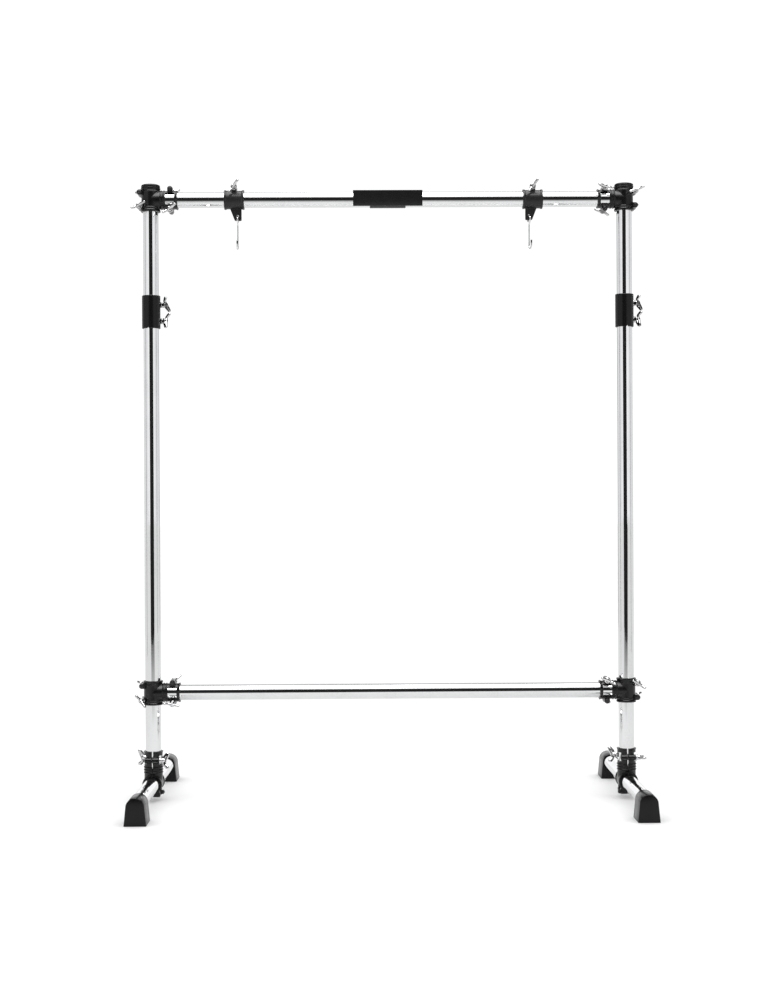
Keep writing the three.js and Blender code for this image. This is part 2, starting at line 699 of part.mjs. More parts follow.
// Leg clamps, leg tubes and feet. A leg clamp's short port points up and holds the post.
const legShell = geometryOf(
  halfShell({ neck: LEG_NECK, collar: LEG_COLLAR, shortSide: -1, hexThrough: true }),
);
const legTube = geometryOf(tube(LEG_TUBE_LENGTH, "y"));
const footGeometry = geometryOf(foot());
const legNutLeans = {
  left: { front: -20, rear: 8 },
  right: { front: 88, rear: -25 },
};
for (const [side, x] of [
  ["left", -POST_X],
  ["right", POST_X],
]) {
  const clamp = new THREE.Group();
  clamp.position.set(x, 0, LEG_AXIS_HEIGHT);
  clamp.quaternion.setFromRotationMatrix(
    new THREE.Matrix4().makeBasis(
      new THREE.Vector3(0, 0, 1),
      new THREE.Vector3(1, 0, 0),
      new THREE.Vector3(0, 1, 0),
    ),
  );
  const shells = side === "left" ? ["outer", "inner"] : ["inner", "outer"];
  place(clamp, `leg_clamp_${side}_${shells[0]}`, legShell, BLACK_PLASTIC);
  place(clamp, `leg_clamp_${side}_${shells[1]}`, legShell, BLACK_PLASTIC, [0, 0, 0], [180, 0, 0]);
  const [, studPlace] = studPlaces(LEG_NECK, 1, -1);
  const [studX, studZ] = studPlace;
  const frontName = `leg_wing_nut_${side}_front`;
  const rearName = `leg_wing_nut_${side}_rear`;
  placeNut(clamp, frontName, [studX, studZ], BOSS_REACH, 1, legNutLeans[side].front);
  placeNut(clamp, rearName, [studX, -studZ], BOSS_REACH, -1, legNutLeans[side].rear);
  stand.add(clamp);

  place(stand, `leg_tube_${side}`, legTube, CHROME, [x, 0, LEG_AXIS_HEIGHT]);
  const reach = LEG_TUBE_LENGTH / 2;
  place(stand, `foot_front_${side}`, footGeometry, BLACK_RUBBER, [x, -reach, 0]);
  place(stand, `foot_rear_${side}`, footGeometry, BLACK_RUBBER, [x, reach, 0], [0, 0, 180]);
}

// Gong hangers, their nuts and hooks
const hookGeometry = gongHook();
const hangerNutLean = -52;
for (const [side, x, inward, hookTwist] of [
  ["left", LEFT_HANGER_INSET - POST_X, 1, 0],
  ["right", POST_X - RIGHT_HANGER_INSET, -1, HOOK_TWIST],
]) {
  const hanger = new THREE.Group();
  hanger.position.set(x, 0, TOP_BAR_HEIGHT);
  place(hanger, `gong_hanger_${side}`, geometryOf(gongHanger(inward)), BLACK_PLASTIC);
  const ear = [0, HANGER_EAR_RADIUS];
  placeNut(hanger, `hanger_wing_nut_${side}`, ear, HANGER_EAR_REACH, -1, hangerNutLean);
  const eyeAt = [inward * HOOK_HOLE_OFFSET, 0, -HOOK_HANG];
  place(hanger, `gong_hook_${side}`, hookGeometry, CHROME, eyeAt, [0, 0, hookTwist]);
  stand.add(hanger);
}

export default stand;
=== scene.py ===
# %% [markdown]
# A gong stand of chromed tube, dressed for the camera.
# The imported model gives the frame: where each tube, clamp and nut is, and which body carries it.
# Each piece is then modelled again in fine detail in the same place, in millimetres, and brought
# to metres as the last step. The CAD nodes stay behind, hidden.

# %% Load the imported model
import math

import bmesh
import bpy
from mathutils import Matrix, Vector


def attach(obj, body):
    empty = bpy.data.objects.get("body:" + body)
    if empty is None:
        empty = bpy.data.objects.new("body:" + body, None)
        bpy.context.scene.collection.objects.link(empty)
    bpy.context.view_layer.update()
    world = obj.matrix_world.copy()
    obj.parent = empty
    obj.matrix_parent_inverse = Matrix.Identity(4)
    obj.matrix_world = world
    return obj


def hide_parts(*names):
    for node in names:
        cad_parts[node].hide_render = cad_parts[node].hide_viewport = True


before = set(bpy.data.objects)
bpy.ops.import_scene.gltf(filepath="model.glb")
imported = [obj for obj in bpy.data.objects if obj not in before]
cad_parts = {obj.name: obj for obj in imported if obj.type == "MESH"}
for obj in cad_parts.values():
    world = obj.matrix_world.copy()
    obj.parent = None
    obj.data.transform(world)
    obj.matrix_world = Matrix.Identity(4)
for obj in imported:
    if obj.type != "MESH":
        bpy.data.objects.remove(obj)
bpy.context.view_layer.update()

# %% [markdown]
# The layout repeats the sizes that the solids were built to. Posts stand at plus and minus
# POST_X, both bars run between them, and the leg tubes run from front to rear under the posts.

# %% The layout, in millimetres
MM = 0.001
POST_X = 584
TOP_BAR_HEIGHT = 1478
LOWER_BAR_HEIGHT = 265
POST_JOINT_HEIGHT = 1202
JOINT_HALF_GAP = 0.15
LEG_HEIGHT = 42.5
LEG_LENGTH = 610
TUBE_RADIUS = 19.05
TUBE_WALL = 1.6
BAR_END_TO_POST = 22.05
BORE_RADIUS = 19.4
SIDES = (("left", -POST_X), ("right", POST_X))
print("Post to post:", 2 * POST_X, "mm, tube:", 2 * TUBE_RADIUS, "mm")

# %% [markdown]
# The camera stands where the photographer stood: nearly four metres in front of the stand, a
# little left of its middle and about as high as a table. The angles are tiny, so the posts stay
# upright in the picture. A 73 mm lens on a 36 mm wide sensor gives the same narrow view.

# %% The camera
CAMERA_PLACE = Vector((-51.434, -3860.793, 740.59)) * MM
CAMERA_YAW = 0.011
CAMERA_PITCH = -0.001
CAMERA_ROLL = -0.005
LENS = 73.02
SENSOR_WIDTH = 36
flat = math.cos(CAMERA_PITCH)
forward = Vector(
    (math.sin(CAMERA_YAW) * flat, math.cos(CAMERA_YAW) * flat, math.sin(CAMERA_PITCH))
)
level = Vector((math.cos(CAMERA_YAW), -math.sin(CAMERA_YAW), 0))
upright = level.cross(forward)
right = math.cos(CAMERA_ROLL) * level + math.sin(CAMERA_ROLL) * upright
up = math.cos(CAMERA_ROLL) * upright - math.sin(CAMERA_ROLL) * level
camera_data = bpy.data.cameras.new("photo_camera")
camera_data.sensor_fit = "HORIZONTAL"
camera_data.sensor_width = SENSOR_WIDTH
camera_data.lens = LENS
camera_data.clip_end = 100
camera = bpy.data.objects.new("photo_camera", camera_data)
aim = Matrix((right, up, -forward)).transposed().to_4x4()
camera.matrix_world = Matrix.Translation(CAMERA_PLACE) @ aim
bpy.context.scene.collection.objects.link(camera)
bpy.context.scene.camera = camera
print("Camera at", [round(value, 3) for value in CAMERA_PLACE], "lens", LENS)

# %% [markdown]
# Finishes first. Every material is built from nodes, and the effects that several of them share
# are node groups with named inputs. A small helper adds a node and fills its sockets, and a few
# more give the result of the nodes that are used most, so that the lines below read as a list of
# what is wired to what.

# %% Helpers for nodes
def node(tree, kind, links=None, **settings):
    """Adds a node, fills its sockets from a dictionary of values and outputs, and sets the rest."""
    made = tree.nodes.new(kind)
    for key, value in settings.items():
        setattr(made, key, value)
    for key, value in (links or {}).items():
        socket = made.inputs[key]
        if isinstance(value, bpy.types.NodeSocket):
            tree.links.new(value, socket)
        else:
            socket.default_value = value
    return made


def calculate(tree, operation, *values):
    """The result of one sum on values and outputs."""
    return node(tree, "ShaderNodeMath", dict(enumerate(values)), operation=operation).outputs[0]


def noise(tree, vector, scale, **inputs):
    """The value of a noise pattern."""
    sockets = {"Vector": vector, "Scale": scale, **inputs}
    return node(tree, "ShaderNodeTexNoise", sockets).outputs["Fac"]


def remapped(tree, value, start=(0, 1), end=(0, 1), **settings):
    """A value carried from one range to another."""
    sockets = {"Value": value, "From Min": start[0], "From Max": start[1]}
    sockets |= {"To Min": end[0], "To Max": end[1]}
    return node(tree, "ShaderNodeMapRange", sockets, **settings).outputs["Result"]


def soft_step(tree, value, low, high):
    """A mask that rises softly from 0 to 1 between two values."""
    return remapped(tree, value, (low, high), interpolation_type="SMOOTHSTEP")


def mixed(tree, factor, first, second, **settings):
    """Two colours mixed by a factor."""
    sockets = {"Factor": factor, 6: first, 7: second}
    return node(tree, "ShaderNodeMix", sockets, data_type="RGBA", **settings).outputs[2]


def grey(value):
    """A neutral colour."""
    return (value, value, value, 1)


def new_group(name, inputs, outputs):
    """A shader node group with number inputs and their defaults, and number outputs."""
    tree = bpy.data.node_groups.new(name, "ShaderNodeTree")
    vector = tree.interface.new_socket("Vector", in_out="INPUT", socket_type="NodeSocketVector")
    vector.hide_value = True
    for label, default in inputs.items():
        socket = tree.interface.new_socket(label, in_out="INPUT", socket_type="NodeSocketFloat")
        socket.default_value = default
    for label in outputs:
        tree.interface.new_socket(label, in_out="OUTPUT", socket_type="NodeSocketFloat")
    given = tree.nodes.new("NodeGroupInput").outputs
    return tree, given, tree.nodes.new("NodeGroupOutput").inputs


print("Node helpers ready")

# %% [markdown]
# Handling marks are what tells used chrome from a perfect mirror: soft smudges, and a few finer
# wipes across them. Two noises multiplied give both, and the film drives colour and roughness.

# %% Handling marks
handling_marks, given, result = new_group(
    "handling_marks", {"Size": 14.0, "Clean": 0.05, "Marked": 0.12}, ["Roughness", "Film"]
)
smudges = noise(handling_marks, given["Vector"], given["Size"], Detail=6.0)
wipes = noise(handling_marks, given["Vector"], 260.0, Detail=3.0, Distortion=0.6)
film = soft_step(handling_marks, calculate(handling_marks, "MULTIPLY", smudges, wipes), 0.2, 0.42)
marked = remapped(handling_marks, film, end=(given["Clean"], given["Marked"]))
handling_marks.links.new(marked, result["Roughness"])
handling_marks.links.new(film, result["Film"])
print("Group:", handling_marks.name)

# %% [markdown]
# Moulded plastic takes the fine pebble of its spark-eroded mould. A smooth Voronoi pattern gives
# the pebbles and a noise roughens them. A second, wide noise drifts slowly through tone and gloss.

# %% Moulded grain
moulded_grain, given, result = new_group("moulded_grain", {"Size": 1400.0}, ["Height", "Drift"])
sockets = {"Vector": given["Vector"], "Scale": given["Size"]}
pebbles = node(moulded_grain, "ShaderNodeTexVoronoi", sockets, feature="SMOOTH_F1")
specks = noise(moulded_grain, given["Vector"], given["Size"], Detail=2.0)
height = calculate(moulded_grain, "ADD", pebbles.outputs["Distance"], specks)
drift = noise(moulded_grain, given["Vector"], 45.0, Detail=4.0)
moulded_grain.links.new(height, result["Height"])
moulded_grain.links.new(drift, result["Drift"])
print("Group:", moulded_grain.name)

# %% [markdown]
# Plating never lies quite flat. One noise is the slow swell under the skin, and a fine one adds
# pits, of which a cast nut shows more than a drawn tube.

# %% Plating waves
plating_waves, given, result = new_group("plating_waves", {"Size": 60.0, "Pits": 0.1}, ["Height"])
swell = noise(plating_waves, given["Vector"], given["Size"], Detail=2.0)
pits = noise(plating_waves, given["Vector"], 900.0, Detail=2.0)
pitted = calculate(plating_waves, "MULTIPLY_ADD", pits, given["Pits"], swell)
plating_waves.links.new(pitted, result["Height"])
print("Group:", plating_waves.name)

# %% [markdown]
# Dust settles as a thin veil on what faces up. The surface's own normal says how far it faces up,
# and a noise breaks the veil into patches.

# %% Settled dust
settled_dust, given, result = new_group("settled_dust", {"Amount": 0.2}, ["Mask"])
normal = node(settled_dust, "ShaderNodeNewGeometry").outputs["Normal"]
facing_up = node(settled_dust, "ShaderNodeSeparateXYZ", {0: normal}).outputs["Z"]
patches = noise(settled_dust, given["Vector"], 120.0, Detail=8.0, Roughness=0.7)
veil = calculate(settled_dust, "MULTIPLY", soft_step(settled_dust, facing_up, 0.15, 0.95), patches)
amount = calculate(settled_dust, "MULTIPLY", veil, given["Amount"])
settled_dust.links.new(amount, result["Mask"])
print("Group:", settled_dust.name)

# %% [markdown]
# Hands and other tubes burnish the corners of the mouldings. Pointiness finds the convex edges,
# and a noise leaves the rub uneven, as real wear is.

# %% Rubbed edges
rubbed_edges, given, result = new_group("rubbed_edges", {"Amount": 0.5}, ["Mask"])
pointed = node(rubbed_edges, "ShaderNodeNewGeometry").outputs["Pointiness"]
breaks = noise(rubbed_edges, given["Vector"], 180.0, Detail=5.0)
rub = calculate(rubbed_edges, "MULTIPLY", soft_step(rubbed_edges, pointed, 0.52, 0.6), breaks)
amount = calculate(rubbed_edges, "MULTIPLY", rub, given["Amount"])
rubbed_edges.links.new(amount, result["Mask"])
print("Group:", rubbed_edges.name)

# %% [markdown]
# Two kinds of surface carry the whole stand. Chrome is a metal whose colour comes from what it
# mirrors, so its base is a light cool grey, its roughness is very low, and only the film of
# handling and the slight waves of the plating break the mirror. The cast nuts are wavier and a
# little duller. Placing the shared groups in one function keeps the chromes alike.

# %% Chrome finishes
CHROME_DUST = (0.62, 0.6, 0.57, 1)


def placed_group(tree, group, coordinates, **values):
    """The outputs of a shared group in a material, fed with coordinates and its own values."""
    sockets = {"Vector": coordinates, **values}
    return node(tree, "ShaderNodeGroup", sockets, node_tree=group).outputs


def cleared(owner):
    """The empty node tree of a material or a world."""
    owner.use_nodes = True
    owner.node_tree.nodes.clear()
    return owner.node_tree


def blank_material(name):
    """A material with an empty tree, its Object coordinates and its Principled shader."""
    material = bpy.data.materials.new(name)
    tree = cleared(material)
    coordinates = node(tree, "ShaderNodeTexCoord").outputs["Object"]
    shader = node(tree, "ShaderNodeBsdfPrincipled")
    node(tree, "ShaderNodeOutputMaterial", {"Surface": shader.outputs["BSDF"]})
    return material, tree, coordinates, shader.inputs


def surfaced(tree, inputs, colour, roughness, height, strength, depth):
    """Feeds a Principled shader, with the height going through a bump."""
    sockets = {"Strength": strength, "Distance": depth, "Height": height}
    bump = node(tree, "ShaderNodeBump", sockets).outputs["Normal"]
    tree.links.new(colour, inputs["Base Color"])
    tree.links.new(roughness, inputs["Roughness"])
    tree.links.new(bump, inputs["Normal"])


def chrome(name, bright, dull, roughness, waves, depth, pits):
    """Plated metal: its clean and smudged greys and roughnesses, and the waves of its plating."""
    material, tree, coordinates, inputs = blank_material(name)
    clean, smudged = roughness
    marks = placed_group(tree, handling_marks, coordinates, Clean=clean, Marked=smudged)
    dust = placed_group(tree, settled_dust, coordinates, Amount=0.1)
    plating = placed_group(tree, plating_waves, coordinates, Size=waves, Pits=pits)
    tone = mixed(tree, marks["Film"], (*bright, 1), (*dull, 1))
    dusted = mixed(tree, dust["Mask"], tone, CHROME_DUST)
    surfaced(tree, inputs, dusted, marks["Roughness"], plating["Height"], 0.35, depth)
    inputs["Metallic"].default_value = 1
    print("Chrome:", name)
    return material


drawn_chrome = chrome(
    "drawn_chrome",
    (0.8, 0.805, 0.81),
    (0.74, 0.745, 0.75),
    roughness=(0.03, 0.075),
    waves=30,
    depth=0.00006,
    pits=0.05,
)
cast_chrome = chrome(
    "cast_chrome",
    (0.74, 0.74, 0.745),
    (0.5, 0.5, 0.51),
    roughness=(0.04, 0.1),
    waves=160,
    depth=0.0008,
    pits=0.2,
)
wire_chrome = chrome(
    "wire_chrome",
    (0.78, 0.785, 0.79),
    (0.7, 0.7, 0.71),
    roughness=(0.09, 0.2),
    waves=220,
    depth=0.0002,
    pits=0.2,
)

# %% [markdown]
# Clamps, sleeves and hangers are moulded nylon, the feet and caps are rubber, the plate is a
# duller board, and the studs are blackened steel. All are nearly black, so gloss and grain tell
# them apart. The clamps shine most, the sleeves less, and the hangers are a shade lighter.

# %% Black finishes
RUBBED_BLACK = (0.085, 0.085, 0.09, 1)
BLACK_DUST = (0.3, 0.29, 0.28, 1)


def black(
    name,
    deep,
    light,
    roughness=(0.2, 0.32),
    grain=1400,
    depth=0.00006,
    dust=0.015,
    rub=0.5,
    metal=0.0,
    gloss=0.24,
):
    """A dark moulded or blackened surface: two tones, a roughness range, grain, dust and rub."""
    material, tree, coordinates, inputs = blank_material(name)
    texture = placed_group(tree, moulded_grain, coordinates, Size=grain)
    edges = placed_group(tree, rubbed_edges, coordinates, Amount=rub)
    veil = placed_group(tree, settled_dust, coordinates, Amount=dust)
    tone = mixed(tree, texture["Drift"], (*deep, 1), (*light, 1))
    rubbed = mixed(tree, edges["Mask"], tone, RUBBED_BLACK)
    dusted = mixed(tree, veil["Mask"], rubbed, BLACK_DUST)
    dullness = remapped(tree, texture["Drift"], end=roughness)
    surfaced(tree, inputs, dusted, dullness, texture["Height"], 0.4, depth)
    inputs["Metallic"].default_value = metal
    inputs["Specular IOR Level"].default_value = gloss
    print("Black:", name)
    return material


clamp_nylon = black("clamp_nylon", (0.002, 0.002, 0.0022), (0.005, 0.005, 0.0054), gloss=0.36)
sleeve_nylon = black("sleeve_nylon", (0.003, 0.003, 0.0032), (0.005, 0.005, 0.0054))
hanger_nylon = black(
    "hanger_nylon", (0.013, 0.013, 0.014), (0.02, 0.02, 0.0212), dust=0.02, rub=0.4
)
soft_rubber = black(
    "soft_rubber",
    (0.002, 0.002, 0.002),
    (0.004, 0.004, 0.004),
    roughness=(0.18, 0.28),
    grain=900,
    dust=0.03,
    rub=0.3,
)
plate_board = black(
    "plate_board",
    (0.007, 0.007, 0.0074),
    (0.011, 0.011, 0.0114),
    roughness=(0.22, 0.34),
    grain=700,
    depth=0.0001,
    dust=0.03,
    rub=0.2,
)
black_steel = black(
    "black_steel",
    (0.03, 0.03, 0.032),
    (0.07, 0.07, 0.072),
    roughness=(0.25, 0.45),
    grain=2200,
    depth=0.00004,
    dust=0.03,
    rub=0.0,
    metal=0.8,
)

# %% [markdown]
# Now the shapes. Almost everything on this stand was turned, drawn or moulded round an axis, so
# the first tool spins an outline once round Z. The outline is given as radius and height. The
# next ones move a shape and round whatever edges are sharper than a given angle.

# %% Spin, move and round
def shift(x, y, z):
    """A move, as a matrix."""
    return Matrix.Translation((x, y, z))


def turn(degrees, axis):
    """A turn round the X, Y or Z axis, as a matrix."""
    return Matrix.Rotation(math.radians(degrees), 4, axis)


ALONG_X = turn(90, "Y")
ALONG_Y = turn(-90, "X")
WELD = 0.001


def spun(outline, sides=64, closed=False):
    """Spins an outline of (radius, height) once round the Z axis and joins it up."""
    bm = bmesh.new()
    points = [bm.verts.new((radius, 0, height)) for radius, height in outline]
    for pair in zip(points, points[1:]):
        bm.edges.new(pair)
    if closed:
        bm.edges.new((points[-1], points[0]))
    bmesh.ops.spin(
        bm,
        geom=bm.verts[:] + bm.edges[:],
        cent=(0, 0, 0),
        axis=(0, 0, 1),
        angle=2 * math.pi,
        steps=sides,
        use_merge=True,
    )
    bmesh.ops.remove_doubles(bm, verts=bm.verts, dist=WELD)
    bmesh.ops.recalc_face_normals(bm, faces=bm.faces)
    return bm


def rod(radius, low, high, sides=72):
    """A solid round bar along Z."""
    return spun([(0, low), (radius, low), (radius, high), (0, high)], sides)


def moved(bm, matrix):
    """Moves or turns a whole shape."""
    bmesh.ops.transform(bm, matrix=matrix, verts=bm.verts)
    return bm


def bevelled(bm, edges, width, segments):
    """Bevels the given edges into small arcs."""
    bmesh.ops.bevel(
        bm,
        geom=edges,
        offset=width,
        offset_type="OFFSET",
        segments=segments,
        profile=0.5,
        affect="EDGES",
        clamp_overlap=True,
        material=-1,
    )
    return bm


def rounded(bm, width, segments=2, beyond=40):
    """Bevels the edges whose faces meet at more than the angle beyond, in degrees."""
    limit = math.radians(beyond)
    sharp = [edge for edge in bm.edges if edge.is_manifold and edge.calc_face_angle() > limit]
    return bevelled(bm, sharp, width, segments)


print("Shape tools ready")

# %% [markdown]
# A finished shape goes to its place as a copy: moved, scaled to metres, shaded smooth up to an
# angle, given its material and handed to its body, and the nodes it stands for are hidden.

# %% Place a piece
def in_scene(name, bm):
    """A new object with the mesh of a shape."""
    mesh = bpy.data.meshes.new(name)
    bm.to_mesh(mesh)
    made = bpy.data.objects.new(name, mesh)
    bpy.context.scene.collection.objects.link(made)
    return made


def piece(name, bm, matrix, finish, body, *nodes, smooth=40):
    """Puts a copy of a shape in its place in metres, on its body, and hides what it stands for."""
    made = in_scene(name, moved(bm.copy(), Matrix.Scale(MM, 4) @ matrix))
    made.data.shade_smooth()
    made.data.set_sharp_from_angle(angle=math.radians(smooth))
    made.data.materials.append(finish)
    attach(made, body)
    if nodes:
        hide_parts(*nodes)
    return made


# %% [markdown]
# The tubes are drawn steel, 38.1 mm across, with mouths deburred by a light chamfer. Each is a
# small rectangle of wall spun round the axis and then bevelled at its four corners. Ninety-six
# sides keep the mirror smooth, which matters more on chrome than on any other surface.

# %% Tubes
MOUTH_BAND = 1.2
MOUTH_ROUND = 0.4
POST_FOOT = LEG_HEIGHT + TUBE_RADIUS + 18.5
CAP_BASE = TOP_BAR_HEIGHT + 30
POST_TOP = CAP_BASE + 5.9


def tube(length):
    """A tube along Z with its middle at the origin."""
    half = length / 2
    wall = []
    for radius, start in ((TUBE_RADIUS - TUBE_WALL, half), (TUBE_RADIUS, -half)):
        band = math.copysign(MOUTH_BAND, start)
        heights = (start, start - band, band - start, -start)
        wall += [(radius, height) for height in heights]
    return rounded(spun(wall, sides=96, closed=True), MOUTH_ROUND)


POST_SPANS = (
    ("lower", POST_FOOT, POST_JOINT_HEIGHT - JOINT_HALF_GAP),
    ("upper", POST_JOINT_HEIGHT + JOINT_HALF_GAP, POST_TOP),
)
post_tubes = {order: tube(high - low) for order, low, high in POST_SPANS}
bar = tube(2 * (POST_X - BAR_END_TO_POST))
leg = tube(LEG_LENGTH)
for side, x in SIDES:
    for order, low, high in POST_SPANS:
        name = f"{order}_post_{side}"
        at = shift(x, 0, (low + high) / 2)
        piece(f"{name}_tube", post_tubes[order], at, drawn_chrome, "posts", name)
    at = shift(x, 0, LEG_HEIGHT) @ ALONG_Y
    piece(f"leg_{side}_tube", leg, at, drawn_chrome, f"{side}_leg", f"leg_tube_{side}")
for name, height in (("top_bar", TOP_BAR_HEIGHT), ("lower_bar", LOWER_BAR_HEIGHT)):
    piece(f"{name}_tube", bar, shift(0, 0, height) @ ALONG_X, drawn_chrome, name, name)
print("Tubes: 8, faces each about", len(bar.faces))

# %% [markdown]
# The clamps are half shells of moulded nylon. A mould gives soft inside corners that no sharp
# solid has, so each shell is made in three steps: plain solids are spun and joined, bores and
# windows are cut, and the result is remeshed on a fine grid and smoothed, which rounds every
# edge and fillets every corner at once. The joins and the grid are modifiers run on a passing
# object, and their result comes back as a mesh.

# %% Join, cut and mould
def through_modifiers(bm, add_modifiers):
    """Runs modifiers over a shape and gives the result back."""
    work = in_scene("work", bm)
    passing = add_modifiers(work) or []
    result = bmesh.new()
    result.from_object(work, bpy.context.evaluated_depsgraph_get())
    for helper in [work, *passing]:
        left_over = helper.data
        bpy.data.objects.remove(helper)
        bpy.data.meshes.remove(left_over)
    return result


def combined(bm, others, operation):
    """Joins other shapes to this one, or cuts them out of it."""

    def add_booleans(work):
        passing = [in_scene("other", other) for other in others]
        for helper in passing:
            helper.hide_render = True
            boolean = work.modifiers.new("combine", "BOOLEAN")
            boolean.operation = operation
            boolean.solver = "EXACT"
            boolean.object = helper
        return passing

    return through_modifiers(bm, add_booleans)


def moulded(bm, grid, passes, kept):
    """Remeshes on a grid, smooths, and thins the faces to the share that is kept."""

    def add_mould(work):
        remesh = work.modifiers.new("grid", "REMESH")
        remesh.mode = "VOXEL"
        remesh.voxel_size = grid
        smooth = work.modifiers.new("soften", "SMOOTH")
        smooth.factor = 0.5
        smooth.iterations = passes
        thin = work.modifiers.new("thin", "DECIMATE")
        thin.ratio = kept

    return through_modifiers(bm, add_mould)


def block(low, high):
    """A block between two corners."""
    bm = bmesh.new()
    bmesh.ops.create_cube(bm, size=1)
    low, high = Vector(low), Vector(high)
    bmesh.ops.scale(bm, verts=bm.verts, vec=high - low)
    return moved(bm, Matrix.Translation((low + high) / 2))


print("Joining tools ready")

# %% [markdown]
# One half shell serves everywhere. Its through port grips the tube that runs past, and its short
# port grips the tube that ends there. The photograph shows flared rims on both, raised ribs round
# the neck, a window that shows the chrome, and round bosses that take the studs. The leg clamps
# have a longer neck and hexagon nuts under the leg tube instead of wing nuts.

# %% The outer form of the half shell
CORNER_NECK = 37.5
LEG_NECK = 47
CORNER_COLLAR = 7.5
LEG_COLLAR = 10
SHELL = BORE_RADIUS + 3.1
RIM_HEIGHT = 1.5
PORT_HALF = 29.5
BOSS_RADIUS = 6.6
BOSS_REACH = 18
WEB_HALF = 6.5
WEB_LENGTH = 8
WEB_INSET = 0.2
WINDOW_LENGTH = 22
SPLIT_HALF = 0.8
STUD_OFFSET = 25.8
STUD_HALF_PITCH = 17.5


def stud_places(neck, through_side, short_side):
    """Where a shell's studs are, in X and Z: beside the through port, and over the window."""
    return [
        (-STUD_OFFSET, through_side * STUD_HALF_PITCH),
        (neck + WINDOW_LENGTH / 2 + SPLIT_HALF, short_side * STUD_OFFSET),
    ]


def ringed(places, height, width):
    """Outline points of raised rings at the given places along a port."""
    top = SHELL + height
    points = []
    for place in places:
        points += [(SHELL, place - width), (top, place - width / 2)]
        points += [(top, place + width / 2), (SHELL, place + width)]
    return points


def flanged(half, flat, slope, rings=()):
    """The outline of a collar along Z with a raised rim at both ends."""
    rim = SHELL + RIM_HEIGHT
    low = [(0, -half), (rim, -half), (rim, flat - half), (SHELL, slope - half)]
    return [*low, *rings, (SHELL, half - slope), (rim, half - flat), (rim, half), (0, half)]


def shell_ports(neck, collar):
    """Both ports: the through port with its rims, the short one with its ribs and its flare."""
    through = flanged(PORT_HALF, 4.1, 5.9, ringed((-20, 20), height=0.9, width=1.6))
    end = neck + WINDOW_LENGTH + collar
    ribs = [place for place in (27, 33.5, 40) if place < neck - 2]
    short = [(0, 0), (SHELL, 0), *ringed(ribs, height=1.5, width=1.7)]
    short += [(SHELL, end - 5.5), (SHELL + 0.6, end - 3), (SHELL + 2.1, end), (0, end)]
    return spun(through, sides=72), moved(spun(short, sides=72), ALONG_X)


def stud_boss(x, z):
    """A round boss along Y, and the web that runs from it into the port beside it."""
    round_end = moved(rod(BOSS_RADIUS, -BOSS_REACH, 0, 64), ALONG_Y)
    back = WEB_INSET - BOSS_REACH
    if x < 0:
        web = block((x, back, z - WEB_HALF), (x + WEB_LENGTH, 0, z + WEB_HALF))
    else:
        inner = z - math.copysign(WEB_LENGTH, z)
        web = block((x - WEB_HALF, back, min(z, inner)), (x + WEB_HALF, 0, max(z, inner)))
    return [moved(round_end, shift(x, 0, z)), web]


print("Necks:", CORNER_NECK, LEG_NECK, "mm")

# %% [markdown]
# What the mould leaves open is cut in one go: both bores, the window, the other half, and two
# grooves along the split that let the shell close on its tube.

# %% The half shell, cut and moulded
WINDOW_HALF = 15.25
BORE_CUT = 40
FAR = 60
GROOVE_DEPTH = 1.9


def half_shell(neck, collar, short_side):
    """The half of a clamp that lies on the -Y side of its split."""
    through, short = shell_ports(neck, collar)
    places = stud_places(neck, 1, short_side) + stud_places(neck, -1, -short_side)
    bosses = [part for x, z in places for part in stud_boss(x, z)]
    body = combined(through, [short, *bosses], "UNION")
    reach = neck + WINDOW_LENGTH + collar + 5
    stud_x = places[1][0]
    cuts = [
        block((neck, -BORE_CUT, -WINDOW_HALF), (neck + WINDOW_LENGTH, BORE_CUT, WINDOW_HALF)),
        rod(BORE_RADIUS, -BORE_CUT, BORE_CUT),
        moved(rod(BORE_RADIUS, 0, reach), ALONG_X),
        block((-FAR, -SPLIT_HALF, -FAR), (reach, FAR, FAR)),
        block((neck - 6, -GROOVE_DEPTH, -FAR), (stud_x - BOSS_RADIUS - 1, 1, FAR)),
        block((stud_x + BOSS_RADIUS + 1, -GROOVE_DEPTH, -FAR), (reach, 1, FAR)),
    ]
    return moulded(combined(body, cuts, "DIFFERENCE"), grid=0.6, passes=3, kept=0.3)


corner_shell = half_shell(CORNER_NECK, CORNER_COLLAR, 1)
leg_shell = half_shell(LEG_NECK, LEG_COLLAR, -1)
print("Shell faces:", len(corner_shell.faces), len(leg_shell.faces))

# %% [markdown]
# The corner clamps at the right are the left ones turned half round a front-to-back line, and
# each rear half is its front half turned over. The leg clamps stand on end: their short port
# points up and holds the post, so their local axes are swapped by a matrix.

# %% Place the shells
CORNERS = (
    ("top_left", -POST_X, TOP_BAR_HEIGHT, 0, "top_clamps"),
    ("top_right", POST_X, TOP_BAR_HEIGHT, 180, "top_clamps"),
    ("lower_left", -POST_X, LOWER_BAR_HEIGHT, 0, "lower_clamps"),
    ("lower_right", POST_X, LOWER_BAR_HEIGHT, 180, "lower_clamps"),
)
AS_MADE = Matrix.Identity(4)
TURNED_OVER = turn(180, "X")
ON_END = Matrix(((0, 1, 0, 0), (0, 0, 1, 0), (1, 0, 0, 0), (0, 0, 0, 1)))
corner_frames = {}
for corner_name, x, height, angle, body in CORNERS:
    at = shift(x, 0, height) @ turn(angle, "Y")
    corner_frames[corner_name] = (at, body)
    for half, turned in (("front", AS_MADE), ("rear", TURNED_OVER)):
        name = f"{corner_name}_clamp_{half}"
        piece(f"{name}_shell", corner_shell, at @ turned, clamp_nylon, body, name)
leg_frames = {}
